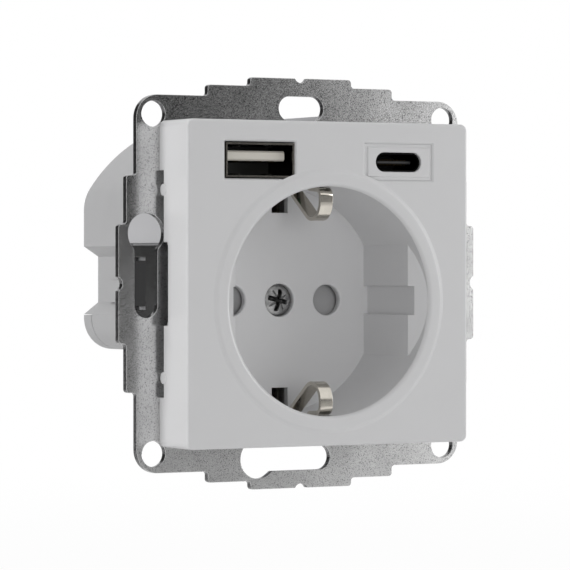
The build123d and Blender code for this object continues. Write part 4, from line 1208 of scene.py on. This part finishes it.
@dataclass
class UsbPorts:
    """The two USB receptacles and the board that carries them.

    Attributes:
        shell_edge: Rounding of the steel shells' edges.
        tongue_edge: Rounding of the moulded tongues' edges.
        bezel_edge: Rounding of the bezel's edges.
        bezel_gap: Gap between the bezel's flange and the cover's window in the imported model.
    """

    stock: Stock
    shell_edge: float = 0.08 * MM
    tongue_edge: float = 0.07 * MM
    bezel_edge: float = 0.1 * MM
    bezel_gap: float = 0.1 * MM

    def build(self) -> None:
        """Build and dress the pieces."""
        self.stock.softened("usb_a_shell", PORT_STEEL, self.shell_edge)
        self.stock.softened("usb_a_tongue", PORT_IVORY, self.tongue_edge)
        self.stock.dress_node("usb_a_contacts", PORT_GOLD)
        self.stock.softened("usb_c_bezel", WHITE_GLOSS, self.bezel_edge, self.fill_window)
        self.stock.softened("usb_c_shell", DEEP_STEEL, self.shell_edge)
        self.stock.softened("usb_c_tongue", PORT_BLACK, self.tongue_edge)
        self.stock.dress_node("usb_c_contacts", PORT_GOLD)
        self.stock.dress_node("usb_board", BOARD_GREEN)

    def fill_window(self, work: WorkMesh) -> None:
        """Widen the bezel's flange to a press fit in the cover's window.

        Args:
            work: The bezel's mesh.
        """
        near, play = 0.02 * MM, 0.01 * MM
        low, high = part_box("usb_c_bezel")
        middle = (low + high) / 2
        for vert in work.verts:
            for axis in (0, 2):
                away = vert.co[axis] - middle[axis]
                if abs(away) > high[axis] - middle[axis] - near:
                    vert.co[axis] += math.copysign(self.bezel_gap - play, away)


@dataclass
class PowerBoard:
    """The power board and what stands on it.

    Attributes:
        finishes: The finish of each node that keeps its CAD shape.
    """

    stock: Stock
    finishes: dict[str, Finish] = field(default_factory=lambda: {
        "power_board": BOARD_GREEN,
        "link_header": EPOXY_BLACK,
        "transformer_core": FERRITE_DARK,
        "transformer_coil": TAPE_YELLOW,
        "input_capacitor": CAN_SLEEVE,
        "output_capacitor": CAN_SLEEVE,
        "choke": EPOXY_BLACK,
        "fuse_resistor": EPOXY_BLUE,
        "varistor": EPOXY_BLUE,
        "rectifier": EPOXY_BLACK,
        "controller_chip": EPOXY_BLACK,
        "live_lead": SHEATH_BROWN,
        "neutral_lead": SHEATH_BLUE,
        "board_screws": SCREW_STEEL,
    })

    def build(self) -> None:
        """Dress the nodes."""
        for node, finish in self.finishes.items():
            self.stock.dress_node(node, finish)


@dataclass(frozen=True)
class Softbox:
    """One large soft light.

    Attributes:
        place: Where it hangs, in metres.
        size: Width and height, in metres.
        power: Its power in watts.
        mirrored: Whether shiny surfaces mirror it.
    """

    name: str
    place: tuple[float, float, float]
    size: tuple[float, float]
    power: float
    mirrored: bool = False


def bearing(azimuth: float, elevation: float) -> Vector:
    """Give the direction at an angle round Z from the front and one over the horizon, in degrees."""
    turn, rise = math.radians(azimuth), math.radians(elevation)
    return Vector((math.sin(turn) * math.cos(rise), -math.cos(turn) * math.cos(rise), math.sin(rise)))


@dataclass(frozen=True)
class DarkFlag:
    """A dark flag that shiny surfaces mirror, as a round patch of the surroundings.

    Attributes:
        azimuth: Its direction round Z from the front, in degrees.
        elevation: Its direction over the horizon, in degrees.
        reach: Angle from its middle to its edge, in degrees.
        soft: Width of its edge, in degrees.
        share: Share of the surroundings' brightness that is left on it.
    """

    azimuth: float
    elevation: float
    reach: float
    soft: float
    share: float

    def share_toward(self, nodes: Nodes, direction: Socket) -> Socket:
        """Add nodes that give the flag's share inside it and 1 outside it.

        Args:
            nodes: The tree to add them to.
            direction: The direction from the object, as a unit vector's output.

        Returns:
            The output that holds that value.
        """
        toward = nodes.add("ShaderNodeVectorMath", operation="DOT_PRODUCT")
        toward.inputs[1].default_value = bearing(self.azimuth, self.elevation)
        nodes.join(direction, toward.inputs[0])
        outer, inner = (math.cos(math.radians(self.reach + half)) for half in (self.soft / 2, -self.soft / 2))
        return nodes.mapped(toward.outputs["Value"], outer, inner, 1.0, self.share)


@dataclass
class Studio:
    """Camera, lights, white surroundings and a pale floor.

    Attributes:
        target: The point that the camera looks at.
        azimuth: Camera's angle round Z from the front, in degrees.
        elevation: Camera's angle over the horizon, in degrees.
        distance: From the camera to the target.
        lens: Focal length in millimetres on a 36 mm sensor.
        floor_drop: From the object's lowest point to the floor.
        ambient: Strength of the surroundings as a light.
        lights: The softboxes.
        flags: The dark flags.
        floor_near: Distance on the floor up to which it shows the object's shadow.
        floor_far: Distance from which it is plain white to the eye.
        floor_white: Share of plain white in what it shows up close.
        floor_half: Half the floor's width.
    """

    target: Vector = field(default_factory=lambda: Vector((-8.871, -11.15, -0.189)) * MM)
    azimuth: float = -29.619
    elevation: float = 0.467
    distance: float = 575.99 * MM
    lens: float = 216.19
    floor_drop: float = 40 * MM
    ambient: float = 0.3
    lights: tuple[Softbox, ...] = (
        Softbox("left_softbox", (-0.8, 0.2, 0.22), (0.5, 0.5), 3.8),
        Softbox("front_softbox", (-0.2, -0.92, 0.08), (0.4, 0.28), 1.6),
        Softbox("right_softbox", (0.75, -0.5, 0.12), (0.4, 0.34), 1.8, True),
        Softbox("top_softbox", (0.0, 0.05, 0.8), (0.8, 0.8), 1.6),
    )
    flags: tuple[DarkFlag, ...] = (
        DarkFlag(15.0, -3.0, 19.0, 6.0, 0.03),
        DarkFlag(-150.0, 0.0, 35.0, 10.0, 0.1),
    )
    floor_near: float = 0.25
    floor_far: float = 0.7
    floor_white: float = 0.96
    floor_half: float = 4.0

    def build(self) -> None:
        """Set up the whole studio."""
        self.add_camera()
        self.add_world()
        for light in self.lights:
            self.add_light(light)
        self.add_floor()
        bpy.context.scene.view_settings.view_transform = "Standard"

    def add_camera(self) -> None:
        """Add the camera at the photograph's viewing angle."""
        out = bearing(self.azimuth, self.elevation)
        data = bpy.data.cameras.new("camera")
        data.lens, data.sensor_width = self.lens, 36.0
        data.clip_start, data.clip_end = 0.01, 20.0
        camera = bpy.data.objects.new("camera", data)
        camera.location = self.target + out * self.distance
        camera.rotation_euler = (-out).to_track_quat("-Z", "Y").to_euler()
        bpy.context.scene.collection.objects.link(camera)
        bpy.context.scene.camera = camera

    def add_light(self, light: Softbox) -> None:
        """Hang one softbox, aimed at the object.

        Args:
            light: The softbox.
        """
        data = bpy.data.lights.new(light.name, "AREA")
        data.shape = "RECTANGLE"
        data.size, data.size_y = light.size
        data.energy = light.power
        lamp = bpy.data.objects.new(light.name, data)
        lamp.location = light.place
        lamp.visible_glossy = light.mirrored
        lamp.rotation_euler = (-Vector(light.place)).to_track_quat("-Z", "Y").to_euler()
        bpy.context.scene.collection.objects.link(lamp)

    def add_world(self) -> None:
        """Make the surroundings white to the eye, softer as a light, and flagged in mirrors."""
        world = bpy.data.worlds.new("studio")
        world.use_nodes = True
        nodes = Nodes(world.node_tree)
        background = nodes.tree.nodes["Background"]
        background.inputs["Color"].default_value = (1, 1, 1, 1)
        direction = nodes.add("ShaderNodeTexCoord").outputs["Generated"]
        nodes.join(self.seen_white(nodes, direction, self.ambient), background.inputs["Strength"])
        bpy.context.scene.world = world

    def seen_white(self, nodes: Nodes, direction: Socket, other: float) -> Socket:
        """Add nodes for a white that the eye and glass see whole, and mirrors behind the flags.

        Args:
            nodes: The tree to add them to.
            direction: The direction from the object, as a unit vector's output.
            other: The level for all other rays.

        Returns:
            The output that holds the white's level.
        """
        mirrored: Level = 1.0
        for flag in self.flags:
            mirrored = nodes.calc("MULTIPLY", mirrored, flag.share_toward(nodes, direction))
        rays = nodes.add("ShaderNodeLightPath").outputs
        seen = nodes.calc("MAXIMUM", rays["Is Camera Ray"], rays["Is Transmission Ray"])
        return nodes.mixed(seen, nodes.mixed(rays["Is Glossy Ray"], other, mirrored), 1.0)

    def add_floor(self) -> None:
        """Lay the floor under the object, white to the eye but for the object's shadow."""
        half, level = self.floor_half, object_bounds()[0][2] - self.floor_drop
        mesh = bpy.data.meshes.new("floor")
        corners = [(-half, -half, level), (half, -half, level), (half, half, level), (-half, half, level)]
        mesh.from_pydata(corners, [], [(0, 1, 2, 3)])
        floor = bpy.data.objects.new("floor", mesh)
        bpy.context.scene.collection.objects.link(floor)
        wires = Wiring("pale_floor")
        wires.shader.inputs["Base Color"].default_value = (0.8, 0.8, 0.8, 1)
        wires.shader.inputs["Roughness"].default_value = 0.9
        away, toward = (wires.add("ShaderNodeVectorMath", operation=name) for name in ("LENGTH", "NORMALIZE"))
        wires.join(wires.place, away.inputs[0])
        wires.join(wires.place, toward.inputs[0])
        white = wires.mapped(away.outputs["Value"], self.floor_near, self.floor_far, self.floor_white, 1.0)
        seen = self.seen_white(wires, toward.outputs["Vector"], 0.0)
        mix = wires.add("ShaderNodeMixShader")
        wires.join(wires.calc("MULTIPLY", seen, white), mix.inputs["Fac"])
        wires.join(wires.shader.outputs["BSDF"], mix.inputs[1])
        wires.join(wires.add("ShaderNodeEmission").outputs["Emission"], mix.inputs[2])
        wires.join(mix.outputs["Shader"], wires.tree.nodes["Material Output"].inputs["Surface"])
        mesh.materials.append(wires.material)
        floor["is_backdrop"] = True


def clear_startup() -> None:
    """Remove what Blender's own start-up scene holds."""
    for thing in list(bpy.data.objects):
        bpy.data.objects.remove(thing)


def main() -> None:
    """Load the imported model, build every sub-assembly in order, and set up the studio."""
    logging.basicConfig(level=logging.INFO, format="%(name)s: %(message)s")
    clear_startup()
    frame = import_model()
    stock = Stock(frame)
    for part in (SteelParts(stock), CoverAssembly(stock), Housing(stock), Terminals(stock), UsbPorts(stock),
                 PowerBoard(stock)):
        part.build()
    Studio().build()


if __name__ == "__main__":
    main()
